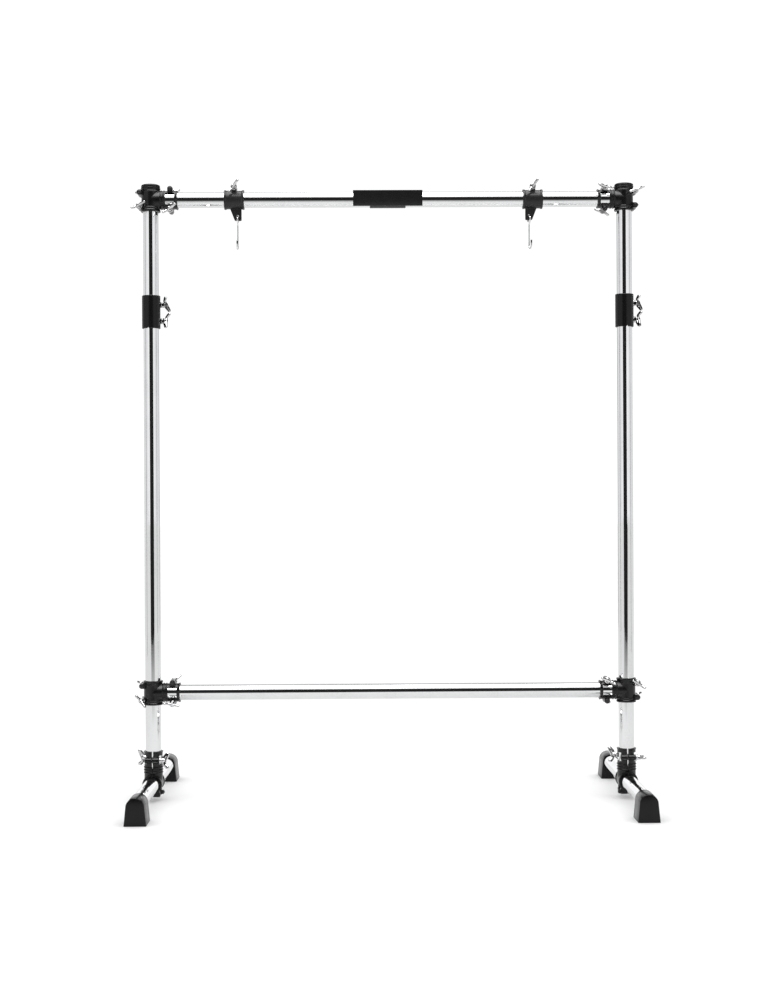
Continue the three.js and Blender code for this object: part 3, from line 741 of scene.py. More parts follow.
for side, x in SIDES:
    at = shift(x, 0, LEG_HEIGHT) @ ON_END
    leg_frames[side] = at
    halves = ("outer", "inner") if side == "left" else ("inner", "outer")
    for half, turned in zip(halves, (AS_MADE, TURNED_OVER)):
        name = f"leg_clamp_{side}_{half}"
        piece(f"{name}_shell", leg_shell, at @ turned, clamp_nylon, f"{side}_leg_clamp", name)
print("Shells placed:", 2 * len(CORNERS) + 2 * len(SIDES))

# %% [markdown]
# The wing nuts are cast and plated. Their soft, continuous form is what subdivision surfaces do
# best, so the cage starts as an eight-sided cone, its two side faces are extruded outwards and
# upwards into wings, the ends are inset and bridged into a bore, and two levels of subdivision
# melt it all together. The wings are thick in the middle, because a full, pillowed face mirrors
# the whole room in small, as the nuts in the photograph do. A low crease keeps their outline.
# The result is scaled to the real nut's span and height and set on a turned flange.

# %% The wing nut
NUT_SPAN = 40
NUT_HEIGHT = 24
NUT_LIFT = 1
HUB_HEIGHT = 12.4
HUB_RADII = (6.9, 6.0)
BORE_INSET = 2.6
HUB_LEVELS = (1.0, 5.0)
CREASE_FROM = 7
CREASE = 0.15
# One station a row: the lower edge's X and Z, the upper edge's X and Z, and half the thickness.
WING_STATIONS = (
    (8.8, 5.4, 7.8, 13.6, 3.3),
    (12.6, 8.8, 10.6, 19.0, 3.1),
    (16.8, 12.0, 13.8, 23.6, 3.3),
    (20.6, 15.8, 18.8, 24.6, 3.1),
)
FLANGE = [(3.4, 0), (7.5, 0), (7.75, 0.4), (7.75, 3.1), (7.2, 3.9), (3.4, 3.9)]


def wing(bm, side):
    """Extrudes the hub face that looks towards side, station by station, into one wing."""
    face = max(bm.faces, key=lambda f: side * f.normal.x + 0.02 * f.calc_center_median().z)
    for low_x, low_z, high_x, high_z, half_width in WING_STATIONS:
        face = bmesh.ops.extrude_discrete_faces(bm, faces=[face])["faces"][0]
        corners = sorted(face.verts, key=lambda vert: vert.co.z)
        for index, vert in enumerate(corners):
            x, z = (low_x, low_z) if index < 2 else (high_x, high_z)
            vert.co = Vector((side * x, math.copysign(half_width, vert.co.y), z))


def wing_nut_cage():
    """The coarse cage: a bored hub with two wings along X."""
    bm = bmesh.new()
    foot, top = HUB_RADII
    bmesh.ops.create_cone(
        bm, cap_ends=True, segments=8, radius1=foot, radius2=top, depth=HUB_HEIGHT
    )
    moved(bm, shift(0, 0, HUB_HEIGHT / 2) @ turn(22.5, "Z"))
    caps = [face for face in bm.faces if len(face.verts) == 8]
    bmesh.ops.inset_individual(bm, faces=caps, thickness=BORE_INSET)
    rims = [edge for face in caps for edge in face.edges]
    bmesh.ops.delete(bm, geom=caps, context="FACES_ONLY")
    bmesh.ops.bridge_loops(bm, edges=rims)
    for level in HUB_LEVELS:
        everything = bm.verts[:] + bm.edges[:] + bm.faces[:]
        bmesh.ops.bisect_plane(bm, geom=everything, plane_co=(0, 0, level), plane_no=(0, 0, 1))
    wing(bm, 1)
    wing(bm, -1)
    crease = bm.edges.layers.float.new("crease_edge")
    for edge in bm.edges:
        if all(abs(vert.co.x) > CREASE_FROM for vert in edge.verts):
            edge[crease] = CREASE
    bmesh.ops.recalc_face_normals(bm, faces=bm.faces)
    return bm


def wing_nut():
    """A wing nut that stands on Z = 0 with its wings along X."""

    def add_subdivision(work):
        subdivision = work.modifiers.new("melt", "SUBSURF")
        subdivision.levels = 2
        subdivision.render_levels = 2

    nut = through_modifiers(wing_nut_cage(), add_subdivision)
    reach, top = [max(vert.co[axis] for vert in nut.verts) for axis in (0, 2)]
    stretch = (NUT_SPAN / 2 / reach, 1, (NUT_HEIGHT - NUT_LIFT) / top)
    bmesh.ops.scale(nut, verts=nut.verts, vec=stretch)
    moved(nut, shift(0, 0, NUT_LIFT))
    return combined(nut, [spun(FLANGE, 48, closed=True)], "UNION")


nut_shape = wing_nut()
print("Wing nut faces:", len(nut_shape.faces))

# %% [markdown]
# Each nut runs on a black stud whose end shows in the middle of the wings. The thread is a row of
# rings: at a millimetre pitch nobody can tell them from a helix, and a spun ring closes cleanly.
# The studs of the sleeves are longer, for their dark ends stand out past the nuts. On the other
# side of the clamp the same stud ends in a low domed head in its boss.

# %% The studs and their heads
STUD_RADIUS = 3.0
THREAD_DEPTH = 0.45
PITCH = 1.0
STUD_BURIED = 10
HEAD = [(0, -1), (5.1, -1), (5.1, 0.35), (3.4, 1.0), (1.9, 1.1), (1.7, 0.5), (0, 0.5)]


def stud(shown):
    """A threaded stud along Z, with Z = 0 at the seat of its nut."""
    outline = [(0, -STUD_BURIED)]
    for index in range(int((STUD_BURIED + shown) / PITCH)):
        start = index * PITCH - STUD_BURIED
        outline += [(STUD_RADIUS - THREAD_DEPTH, start), (STUD_RADIUS, start + PITCH / 2)]
    outline += [(STUD_RADIUS - 2 * THREAD_DEPTH, shown), (0, shown)]
    return spun(outline, sides=20)


nut_stud = stud(12.2)
long_stud = stud(18)
stud_head = rounded(spun(HEAD, 32), 0.15, segments=1)
print("Stud faces:", len(nut_stud.faces), len(long_stud.faces))

# %% [markdown]
# A nut's seat is a point and a direction in its clamp's own frame. The lean turns the wings from
# level, as each one happens to stand in the photograph. The same matrix, without the lean, places
# the stud, and its mirror image across the split places the head.

# %% Place the nuts, studs and heads
NUT_GAP = 0.3


def seat(at, place, reach, facing):
    """The frame of a nut's seat: Z points away from the clamp, along the stud."""
    x, z = place
    return at @ shift(x, facing * reach, z) @ turn(-90 * facing, "X")


def nut_and_stud(name, at, place, reach, facing, lean, holder, rod_shape=nut_stud):
    """One wing nut, its stud, and the stud's head on the far side of what holds it."""
    here = seat(at, place, reach + NUT_GAP, facing)
    leaning = here @ turn(lean * facing, "Z")
    nut_body = name.replace("_wing_nut", "_nut")
    piece(f"{name}_cast", nut_shape, leaning, cast_chrome, nut_body, name, smooth=60)
    piece(f"{name}_stud", rod_shape, here, black_steel, holder)
    there = seat(at, place, reach, -facing)
    piece(f"{name}_head", stud_head, there, black_steel, holder)


CORNER_LEANS = {
    "top_left": {"post_front": -25, "bar_front": -35, "post_rear": 30, "bar_rear": -20},
    "top_right": {"post_front": -19, "bar_front": 12, "post_rear": -35, "bar_rear": 24},
    "lower_left": {"post_front": 51, "bar_front": 9, "post_rear": 16, "bar_rear": -40},
    "lower_right": {"post_front": 32, "bar_front": 24, "post_rear": -16, "bar_rear": 36},
}
for corner_name, (at, body) in corner_frames.items():
    for which, (x, z) in zip(("post", "bar"), stud_places(CORNER_NECK, 1, 1)):
        for end, facing in (("rear", 1), ("front", -1)):
            name = f"{corner_name}_wing_nut_{which}_{end}"
            lean = CORNER_LEANS[corner_name][f"{which}_{end}"]
            nut_and_stud(name, at, (x, facing * z), BOSS_REACH, facing, lean, body)
LEG_LEANS = {"left": {"front": -20, "rear": 8}, "right": {"front": 88, "rear": -25}}
LEG_ENDS = (("front", 1), ("rear", -1))
for side, at in leg_frames.items():
    x, z = stud_places(LEG_NECK, 1, -1)[1]
    for end, facing in LEG_ENDS:
        name = f"leg_wing_nut_{side}_{end}"
        place = (x, facing * z)
        nut_and_stud(name, at, place, BOSS_REACH, facing, LEG_LEANS[side][end], f"{side}_leg_clamp")
print("Nuts on the clamps:", 4 * len(CORNERS) + 2 * len(SIDES))

# %% [markdown]
# Under each leg tube a wing nut would hit the floor, so plain hexagon nuts close the clamp there.
# A hexagon nut is a six-sided cone with no taper whose ends are turned to a chamfer.

# %% The hexagon nuts under the leg tubes
HEX_RADIUS = 5.5
HEX_HEIGHT = 4.5
HEX_TURNED = [(0, 0), (4.9, 0), (5.6, 0.6), (5.6, 3.9), (4.9, HEX_HEIGHT), (0, HEX_HEIGHT)]


def hexagon_nut():
    """A hexagon nut on Z = 0, 11 mm across its corners."""
    bm = bmesh.new()
    bmesh.ops.create_cone(
        bm, cap_ends=True, segments=6, radius1=HEX_RADIUS, radius2=HEX_RADIUS, depth=HEX_HEIGHT
    )
    moved(bm, shift(0, 0, HEX_HEIGHT / 2))
    return rounded(combined(bm, [spun(HEX_TURNED, 48)], "INTERSECT"), 0.15, segments=1)


hex_nut = hexagon_nut()
short_stud = stud(6.2)
for side, at in leg_frames.items():
    x, z = stud_places(LEG_NECK, 1, -1)[0]
    for end, facing in LEG_ENDS:
        place = (x, facing * z)
        here = seat(at, place, BOSS_REACH + NUT_GAP, facing)
        there = seat(at, place, BOSS_REACH, -facing)
        parts = (("nut", hex_nut, here), ("stud", short_stud, here), ("head", stud_head, there))
        for part, shape, matrix in parts:
            name = f"leg_hex_{part}_{side}_{end}"
            piece(name, shape, matrix, black_steel, f"{side}_leg_clamp")
print("Hexagon nuts: 4, faces each", len(hex_nut.faces))

# %% [markdown]
# A split sleeve joins the two tubes of each post. It is a thick ring with a slit through one
# side, two ears beside the slit for the studs, and a small notch at its lower edge that shows
# which way it goes on. The two sleeves were put on differently, so their notches stand apart. It
# is moulded the same way as the clamps.

# %% The post sleeves
SLEEVE_RADIUS = BORE_RADIUS + 3.2
SLEEVE_HALF = 40.5
SLEEVE_CUT = 50
SLIT_HALF = 1.2
EAR_OUT = 30
EAR_REACH = 6.5
EAR_HALF_PITCH = 20.2
EAR_TURN = 45
NOTCH_HALF = 3.7


def post_sleeve(notch_angle):
    """A sleeve along Z, with its ears towards +X and its studs running towards -Y."""
    soft = SLEEVE_RADIUS - 0.6
    upper = [(SLEEVE_RADIUS, 39.6), (soft, SLEEVE_HALF), (0, SLEEVE_HALF)]
    lower = [(radius, -height) for radius, height in reversed(upper)]
    ears = []
    for place in (-EAR_HALF_PITCH, EAR_HALF_PITCH):
        ear = moved(rod(BOSS_RADIUS, -EAR_REACH, EAR_REACH, 48), ALONG_Y)
        ears.append(moved(ear, shift(EAR_OUT, 0, place)))
        low = (1, WEB_INSET - EAR_REACH, place - WEB_HALF)
        ears.append(block(low, (EAR_OUT, EAR_REACH - WEB_INSET, place + WEB_HALF)))
    body = combined(spun(lower + upper, sides=72), ears, "UNION")
    slit = block((0, -SLIT_HALF, -SLEEVE_CUT), (SLEEVE_CUT, SLIT_HALF, SLEEVE_CUT))
    notch = block((-NOTCH_HALF, -2.5, -NOTCH_HALF), (NOTCH_HALF, 40, NOTCH_HALF))
    moved(notch, turn(45, "Y"))
    bmesh.ops.scale(notch, verts=notch.verts, vec=(0.65, 1, 1))
    moved(notch, shift(0, 0, -SLEEVE_HALF - 0.5))
    moved(notch, turn(notch_angle, "Z"))
    cuts = [slit, notch, rod(BORE_RADIUS, -SLEEVE_CUT, SLEEVE_CUT)]
    return moulded(combined(body, cuts, "DIFFERENCE"), grid=0.65, passes=4, kept=0.3)


NOTCH_ANGLES = {"left": 118, "right": 148}
SLEEVE_LEANS = {"left": {"upper": 70, "lower": 108}, "right": {"upper": 76, "lower": 100}}
for side, x in SIDES:
    at = shift(x, 0, POST_JOINT_HEIGHT) @ turn(EAR_TURN, "Z")
    name = f"post_sleeve_{side}"
    sleeve = post_sleeve(NOTCH_ANGLES[side])
    piece(f"{name}_moulding", sleeve, at, sleeve_nylon, "posts", name)
    for order, z in (("upper", EAR_HALF_PITCH), ("lower", -EAR_HALF_PITCH)):
        name = f"sleeve_wing_nut_{side}_{order}"
        lean = SLEEVE_LEANS[side][order]
        nut_and_stud(name, at, (EAR_OUT, z), EAR_REACH, -1, lean, "posts", long_stud)
print("Sleeve faces:", len(sleeve.faces))

# %% [markdown]
# A shallow rubber cap closes the open top of each post. It is one turned outline, thick at the
# rim, with a slightly domed roof, so a single spin makes it.

# %% The post caps
CAP_LIP = [(BORE_RADIUS, 0), (22.9, 0), (23.2, 0.4), (23.2, 4.2)]
CAP_ROOF = [(22.4, 5.9), (20.2, 7.2), (17.6, 7.9), (12, 8.15), (0, 8.2)]
CAP_CEILING = 6.2
cap = spun([(0, CAP_CEILING), (BORE_RADIUS, CAP_CEILING), *CAP_LIP, *CAP_ROOF], sides=72)
for side, x in SIDES:
    at = shift(x, 0, CAP_BASE)
    piece(f"post_cap_{side}_moulding", cap, at, soft_rubber, "posts", f"post_cap_{side}")
print("Cap faces:", len(cap.faces))

# %% [markdown]
# The feet are blocks of rubber with an arched top, slightly wider at the floor, closed at the
# outer end and bored from the inner end for the leg tube. The cross-section is drawn with few
# points: the arch is a spun arc of one vertex. The face is extruded along the tube, all sharp
# edges are bevelled, and the bore is cut last so that it stays crisp.

# %% The feet
FOOT_HALF_FLOOR = 25.75
FOOT_ARCH = BORE_RADIUS + 2.1
FOOT_LENGTH = 66
FOOT_WALL = 9
FOOT_PLAY = 0.3
FOOT_BORE = 80


def extruded(bm, outline, depth):
    """Fills an outline of edges or corners and extrudes the face along Y."""
    face = bmesh.ops.contextual_create(bm, geom=outline)["faces"][0]
    made = bmesh.ops.extrude_face_region(bm, geom=[face])["geom"]
    back = [part for part in made if isinstance(part, bmesh.types.BMVert)]
    bmesh.ops.translate(bm, verts=back, vec=(0, depth, 0))
    bmesh.ops.recalc_face_normals(bm, faces=bm.faces)
    return bm


def foot():
    """A foot at the front end of a leg tube: the tube ends at Y = 0 and the floor is Z = 0."""
    bm = bmesh.new()
    middle = Vector((0, 0, LEG_HEIGHT))
    start = bm.verts.new((FOOT_ARCH, 0, LEG_HEIGHT))
    bmesh.ops.spin(bm, geom=[start], cent=middle, axis=(0, -1, 0), angle=math.pi, steps=32)
    right_corner = bm.verts.new((FOOT_HALF_FLOOR, 0, 0))
    left_corner = bm.verts.new((-FOOT_HALF_FLOOR, 0, 0))
    arch_end = middle - Vector((FOOT_ARCH, 0, 0))
    end = min(bm.verts, key=lambda vert: (vert.co - arch_end).length)
    for pair in ((right_corner, start), (left_corner, right_corner), (end, left_corner)):
        bm.edges.new(pair)
    extruded(bm, bm.edges, FOOT_LENGTH)
    moved(bm, shift(0, -FOOT_WALL - FOOT_PLAY, 0))
    rounded(bm, 0.9, segments=3, beyond=50)
    bore = moved(rod(BORE_RADIUS, -FOOT_PLAY, FOOT_BORE), shift(0, 0, LEG_HEIGHT) @ ALONG_Y)
    return combined(bm, [bore], "DIFFERENCE")


foot_shape = foot()
half_leg = LEG_LENGTH / 2
for side, x in SIDES:
    for end, y, angle in (("front", -half_leg, 0), ("rear", half_leg, 180)):
        at = shift(x, y, 0) @ turn(angle, "Z")
        name = f"foot_{end}_{side}"
        piece(f"{name}_moulding", foot_shape, at, soft_rubber, f"{side}_leg", name, smooth=35)
print("Foot faces:", len(foot_shape.faces))

# %% [markdown]
# The gong hangers are collars on the top bar. Each is split at the top between two ears that one
# stud closes, and carries a flat tongue below with a hole for the hook. The tongue's inner edge
# is upright and its outer edge slants, so it is a face of four points, extruded and bevelled.

# %% The gong hangers
HANGER_PLACES = {"left": (-378, 1), "right": (357.5, -1)}
HANGER_HALF = 24.5
HANGER_LEAN = -52
HANGER_EAR_UP = 29.5
HANGER_EAR_REACH = 12.5
HOOK_HOLE_OUT = 8.2
HOOK_HOLE_DROP = 40
HOOK_HOLE_RADIUS = 2.75
TONGUE_INNER = 17.8
TONGUE_TOP = -16
TONGUE_FOOT = -51.5
TONGUE_WIDTHS = (30.5, 16.7)
TONGUE_HALF = 3
TONGUE_ROUND = 2.5


def tongue(inward):
    """The flat tongue below a hanger, with its hole."""
    bm = bmesh.new()
    inner = inward * TONGUE_INNER
    top, low = [inner - inward * width for width in TONGUE_WIDTHS]
    outline = [(inner, TONGUE_TOP), (inner, TONGUE_FOOT), (low, TONGUE_FOOT), (top, TONGUE_TOP)]
    extruded(bm, [bm.verts.new((x, -TONGUE_HALF, z)) for x, z in outline], 2 * TONGUE_HALF)
    through = [e for e in bm.edges if abs((e.verts[0].co - e.verts[1].co).y) > TONGUE_HALF]
    bevelled(bm, through, TONGUE_ROUND, segments=4)
    hole = moved(rod(HOOK_HOLE_RADIUS, -9, 9, 32), ALONG_Y)
    moved(hole, shift(inward * HOOK_HOLE_OUT, 0, -HOOK_HOLE_DROP))
    return combined(bm, [hole], "DIFFERENCE")


def hanger(inward):
    """A hanger whose collar lies along X. inward points to the middle of the stand."""
    reach = HANGER_EAR_REACH
    collar = moved(spun(flanged(HANGER_HALF, 4.3, 6.2), sides=72), ALONG_X)
    ear = moved(moved(rod(BOSS_RADIUS, -reach, reach, 48), ALONG_Y), shift(0, 0, HANGER_EAR_UP))
    web = block((-WEB_HALF, WEB_INSET - reach, 1), (WEB_HALF, reach - WEB_INSET, HANGER_EAR_UP))
    body = combined(collar, [ear, web, tongue(inward)], "UNION")
    slit = block((-30, -SLIT_HALF, 0), (30, SLIT_HALF, FAR))
    bore = moved(rod(BORE_RADIUS, -BORE_CUT, BORE_CUT), ALONG_X)
    return moulded(combined(body, [slit, bore], "DIFFERENCE"), grid=0.6, passes=4, kept=0.35)


for side, (x, inward) in HANGER_PLACES.items():
    at = shift(x, 0, TOP_BAR_HEIGHT)
    shape = hanger(inward)
    name = f"gong_hanger_{side}"
    body = f"{side}_hanger"
    piece(f"{name}_moulding", shape, at, hanger_nylon, body, name)
    place = (0, HANGER_EAR_UP)
    nut_and_stud(f"hanger_wing_nut_{side}", at, place, HANGER_EAR_REACH, -1, HANGER_LEAN, body)
    print("Hanger faces:", len(shape.faces))

# %% [markdown]
# The hooks are bent from 4 mm wire, and bending is how they are modelled: a ring of vertices
# starts at the open end of the eye, and each bend spins it round a centre beside the wire while
# each straight extrudes it. The eye closes past the tongue, a short counter-bend brings the wire
# back under the eye's middle, and the crook turns it up again at the bottom.

# %% Bending wire
WIRE_RADIUS = 2
DEGREES_A_STEP = 6


def only(kind, items):
    """The vertices, or the edges, among what an operator made."""
    return [item for item in items if isinstance(item, kind)]


class Wire:
    """A bent wire in the YZ plane, built bend by bend."""

    def __init__(self, start, heading):
        self.bm = bmesh.new()
        self.place = Vector((0, *start))
        self.heading = heading
        made = bmesh.ops.create_circle(self.bm, cap_ends=True, segments=16, radius=WIRE_RADIUS)
        moved(self.bm, Matrix.Translation(self.place) @ turn(heading - 90, "X"))
        self.ring = list({edge for vert in made["verts"] for edge in vert.link_edges})

    def ahead(self, quarter=0):
        """The direction the wire runs in, or the one a quarter turn to its left or right."""
        angle = math.radians(self.heading + 90 * quarter)
        return Vector((0, math.cos(angle), math.sin(angle)))

    def bend(self, degrees, radius):
        """Bends the wire, to the left for a positive angle."""
        centre = self.place + radius * self.ahead(1 if degrees > 0 else -1)
        angle = math.radians(degrees)
        verts = list({vert for edge in self.ring for vert in edge.verts})
        made = bmesh.ops.spin(
            self.bm,
            geom=verts + self.ring,
            cent=centre,
            axis=(1, 0, 0),
            angle=angle,
            steps=max(4, int(abs(degrees) / DEGREES_A_STEP)),
        )
        self.ring = only(bmesh.types.BMEdge, made["geom_last"])
        self.place = centre + Matrix.Rotation(angle, 3, "X") @ (self.place - centre)
        self.heading += degrees

    def straight(self, length):
        """Runs the wire straight on."""
        step = self.ahead() * length
        made = bmesh.ops.extrude_edge_only(self.bm, edges=self.ring)["geom"]
        last = set(only(bmesh.types.BMVert, made))
        bmesh.ops.translate(self.bm, verts=list(last), vec=step)
        edges = only(bmesh.types.BMEdge, made)
        self.ring = [edge for edge in edges if all(vert in last for vert in edge.verts)]
        self.place = self.place + step

    def finished(self):
        """Closes the far end and takes the sharpness off both."""
        bmesh.ops.contextual_create(self.bm, geom=self.ring)
        bmesh.ops.recalc_face_normals(self.bm, faces=self.bm.faces)
        return rounded(self.bm, 0.5, beyond=60)


print("Wire:", 2 * WIRE_RADIUS, "mm")

# %% The gong hooks
EYE_RADIUS = 9
EYE_OPENS = -38
EYE_CLOSES = 232
HOOK_HANG = 40.157
CROOK_LOW = 124.5
CROOK_TIP = 11
HOOK_TWISTS = {"left": 0, "right": 12}


def gong_hook():
    """A hook that hangs from the origin."""
    opens = math.radians(EYE_OPENS)
    start = (EYE_RADIUS * math.cos(opens), EYE_RADIUS * (math.sin(opens) - 1))
    wire = Wire(start, EYE_OPENS + 90)
    wire.bend(EYE_CLOSES - EYE_OPENS, EYE_RADIUS)
    turn_back = EYE_CLOSES - 180
    counter = -wire.place.y / (1 - math.cos(math.radians(turn_back)))
    wire.bend(-turn_back, counter)
    crook_centre = -(CROOK_LOW - HOOK_HANG - WIRE_RADIUS - EYE_RADIUS)
    wire.straight(wire.place.z - crook_centre)
    wire.bend(-180, EYE_RADIUS)
    wire.straight(CROOK_TIP)
    return wire.finished()


hook = gong_hook()
for side, (x, inward) in HANGER_PLACES.items():
    low = shift(x + inward * HOOK_HOLE_OUT, 0, TOP_BAR_HEIGHT - HOOK_HANG)
    at = low @ turn(HOOK_TWISTS[side], "Z")
    piece(f"gong_hook_{side}_wire", hook, at, wire_chrome, f"{side}_hook", f"gong_hook_{side}")
print("Hook faces:", len(hook.faces))

# %% [markdown]
# The name plate is a thin bordered board on a clip that snaps round the bar. The board is a block
# whose front face is inset and pushed in, which leaves the raised border. The plate stays bare.
# The clip is a spun ring with its back cut open, and its edge shows below the board.

# %% The name plate
PLATE_HALF_LENGTH = 85.25
PLATE_HALF_HEIGHT = 19.35
PLATE_FRONT = -24.2
PLATE_BACK = -21
BORDER_WIDTH = 2.0
BORDER_DEPTH = 0.6
CLIP_HALF = 44
CLIP_RADIUS = 20.9
CLIP_MOUTH_HALF = 13.5

board = block(
    (-PLATE_HALF_LENGTH, PLATE_FRONT, -PLATE_HALF_HEIGHT),
    (PLATE_HALF_LENGTH, PLATE_BACK, PLATE_HALF_HEIGHT),
)
face = min(board.faces, key=lambda f: f.calc_center_median().y)
bmesh.ops.inset_region(board, faces=[face], thickness=BORDER_WIDTH)
bmesh.ops.translate(board, verts=face.verts, vec=(0, BORDER_DEPTH, 0))
rounded(board, 0.35)
ring = [(BORE_RADIUS, -CLIP_HALF), (CLIP_RADIUS, -CLIP_HALF)]
ring += [(CLIP_RADIUS, CLIP_HALF), (BORE_RADIUS, CLIP_HALF)]
clip = moved(spun(ring, sides=72, closed=True), ALONG_X)
mouth = block((-FAR, 0, -CLIP_MOUTH_HALF), (FAR, 40, CLIP_MOUTH_HALF))
clip = rounded(combined(clip, [mouth], "DIFFERENCE"), 0.5, beyond=60)
at = shift(0, 0, TOP_BAR_HEIGHT)
piece("name_plate_board", board, at, plate_board, "top_bar", "name_plate")
piece("name_plate_clip", clip, at, clamp_nylon, "top_bar")
print("Plate faces:", len(board.faces), "clip faces:", len(clip.faces))

# %% [markdown]
# The studio. Chrome shows what surrounds it, so the room matters as much as the metal. The stand
# stood on white paper in a bright white room. The camera looked out of a dark opening, and that
# opening is the black line down every tube. The camera sees plain white paper. Mirrors see it
# darken with distance in front of the stand, as it does where the light falls off, and that is
# why the line fades out low on the posts, where they mirror the near paper.

# %% The floor
FLOOR_REACH = 40
FLOOR_DROP = -0.0004
PAPER = grey(0.93)
NEAR_PAPER = grey(0.84)
# How far out a share of ten metres is, and how grey mirrors see the paper there.
PAPER_FADE = ((0.2, 0.6), (0.34, 0.32), (0.44, 0.17))
FADE_START = 0.13
FADE_END = 0.75


def flat_card(name, corners, material):
    """One flat stage card from its corners, in metres."""
    bm = bmesh.new()
    bmesh.ops.contextual_create(bm, geom=[bm.verts.new(corner) for corner in corners])
    card = in_scene(name, bm)
    card.data.materials.append(material)
    return card


paper = bpy.data.materials.new("paper_floor")
tree = cleared(paper)
coordinates = node(tree, "ShaderNodeTexCoord").outputs["Object"]
place = node(tree, "ShaderNodeSeparateXYZ", {0: coordinates}).outputs
out_front = calculate(tree, "MULTIPLY", place["Y"], -1.0)
distance = calculate(tree, "MULTIPLY", out_front, 0.1)
# Painted shade: mirrors see the paper greyer the farther out in front it lies, and a little grey
# near the stand and at the sides, standing in for the falloff of the light. The camera still sees
# it white.
fade = node(tree, "ShaderNodeValToRGB", {"Fac": distance})
ramp = fade.color_ramp
ramp.elements[0].position = FADE_START
ramp.elements[0].color = NEAR_PAPER
ramp.elements[1].position = FADE_END
ramp.elements[1].color = grey(0.012)
for position, tone in PAPER_FADE:
    ramp.elements.new(position).color = grey(tone)
across = calculate(tree, "ABSOLUTE", calculate(tree, "ADD", place["X"], 0.15))
beside = soft_step(tree, calculate(tree, "DIVIDE", across, out_front), 0.42, 0.52)
mirrored = mixed(tree, beside, fade.outputs["Color"], NEAR_PAPER)
glossy = node(tree, "ShaderNodeLightPath").outputs["Is Glossy Ray"]
seen = mixed(tree, glossy, grey(1), mirrored)
whiteness = mixed(tree, 1.0, seen, PAPER, blend_type="MULTIPLY")
matte = node(tree, "ShaderNodeBsdfDiffuse", {"Color": whiteness}).outputs["BSDF"]
node(tree, "ShaderNodeOutputMaterial", {"Surface": matte})
signs = ((-1, -1), (1, -1), (1, 1), (-1, 1))
corners = [(x * FLOOR_REACH, y * FLOOR_REACH, FLOOR_DROP) for x, y in signs]
floor = flat_card("floor", corners, paper)
print("Floor:", floor.name)

# %% [markdown]
# The dark opening is a flag: a black card that only mirrors can see. Its width sets how wide the
# line on the posts is, and its height does the same for the bars. Two columns behind the stand
# and a narrow card at each side give the thin grey lines near the edges of the tubes.

# %% The flags
FLAG_FOOT = 0.001
FLAGS = (
    ("flag_front", (-2.35, -4.2), (1.95, -4.2), 3.65),
    ("flag_rear_left", (-2.9, 4.2), (-2.0, 4.2), 2.6),
    ("flag_rear_right", (2.0, 4.2), (2.9, 4.2), 2.6),
    ("flag_left", (-4.2, -0.45), (-4.2, -0.15), 2.6),
    ("flag_right", (4.2, -1.0), (4.2, -0.75), 2.6),
)
flag_black = bpy.data.materials.new("flag_black")
tree = cleared(flag_black)
dark = node(tree, "ShaderNodeEmission", {"Color": grey(1), "Strength": 0.018})
node(tree, "ShaderNodeOutputMaterial", {"Surface": dark.outputs["Emission"]})
for name, start, end, top in FLAGS:
    corners = [(*start, FLAG_FOOT), (*end, FLAG_FOOT), (*end, top), (*start, top)]
    flag = flat_card(name, corners, flag_black)
    flag.visible_camera = False
    flag.visible_diffuse = False
    flag.visible_transmission = False
    flag.visible_volume_scatter = False
    flag.visible_shadow = False
print("Flags:", len(FLAGS))

# %% [markdown]
# The room is the world. The camera sees it pure white, as the background of the photograph is,
# and matt surfaces get it as soft light from all round. Mirrors see walls a little darker than
# white, a brighter window in front, and bright paper straight behind. High at the sides they see
# an unlit ceiling. The tubes never look that way, but the wings of the nuts do, and it draws
# their dark edges. The wall above the paper behind is a little greyer, which leaves a thin line
# along the top of the bars.

# %% The room
room = bpy.data.worlds.new("room")
bpy.context.scene.world = room
tree = cleared(room)


def glow(colour, strength):
    """A background of one colour."""
    sockets = {"Color": colour, "Strength": strength}
    return node(tree, "ShaderNodeBackground", sockets).outputs[0]


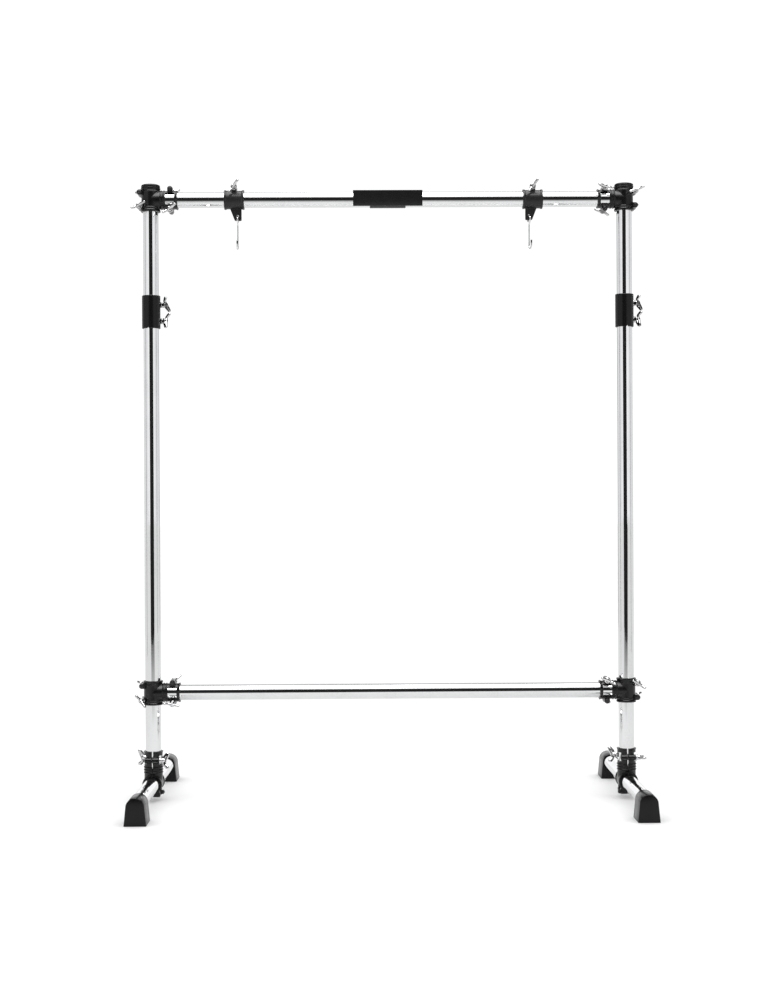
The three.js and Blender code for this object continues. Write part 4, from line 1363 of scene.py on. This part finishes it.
direction = node(tree, "ShaderNodeTexCoord").outputs["Generated"]
across, depth, height = node(tree, "ShaderNodeSeparateXYZ", {0: direction}).outputs
window = remapped(tree, depth, (-1.0, -0.2), (0.27, 0.0))
backing = remapped(tree, depth, (0.9, 0.99), (0.87, 1.2))
beside = soft_step(tree, calculate(tree, "ABSOLUTE", across), 0.22, 0.32)
above = soft_step(tree, height, 0.17, 0.26)
unlit = remapped(tree, calculate(tree, "MULTIPLY", beside, above), end=(1.0, 0.03))
rear_slope = calculate(tree, "MULTIPLY", depth, height)
rear_wall = remapped(tree, rear_slope, (0.2, 0.3), (1.0, 0.76))
shade = calculate(tree, "MULTIPLY", unlit, rear_wall)
bright = calculate(tree, "ADD", window, backing)
walls = glow((0.99, 0.99, 1, 1), calculate(tree, "MULTIPLY", bright, shade))
rays = node(tree, "ShaderNodeLightPath").outputs
soft = glow(grey(1), 1.1)
reflected = node(tree, "ShaderNodeMixShader", {0: rays["Is Glossy Ray"], 1: soft, 2: walls})
backdrop = glow(grey(1), 1.05)
choice = {0: rays["Is Camera Ray"], 1: reflected.outputs[0], 2: backdrop}
seen = node(tree, "ShaderNodeMixShader", choice)
node(tree, "ShaderNodeOutputWorld", {"Surface": seen.outputs[0]})
print("Room nodes:", len(tree.nodes))

# %% [markdown]
# Two low lights shade matt surfaces only and leave the soft shadows on the floor. The softbox
# overhead is for mirrors only: it whitens the upper half of the bars.

# %% The lights
SOFT_LIGHT_SIZE = (3.4, 1.45)
SOFT_LIGHT_HEIGHT = 1.81


def light_panel(name, place, size, watts):
    """A wide light that faces down and that the camera can't see."""
    data = bpy.data.lights.new(name, "AREA")
    data.shape = "RECTANGLE"
    data.size, data.size_y = size
    data.energy = watts
    panel = bpy.data.objects.new(name, data)
    panel.location = place
    panel.visible_camera = False
    bpy.context.scene.collection.objects.link(panel)
    print("Light:", name, watts, "W over", size, "m")
    return panel


for name, y, watts in (("soft_light_front", -0.725, 8.5), ("soft_light_rear", 0.725, 3.0)):
    panel = light_panel(name, (0, y, SOFT_LIGHT_HEIGHT), SOFT_LIGHT_SIZE, watts)
    panel.visible_glossy = False
softbox = light_panel("softbox", (0, -1.05, 4.6), (5, 4.3), 403)
softbox.visible_diffuse = False
bpy.context.scene.view_settings.view_transform = "Standard"
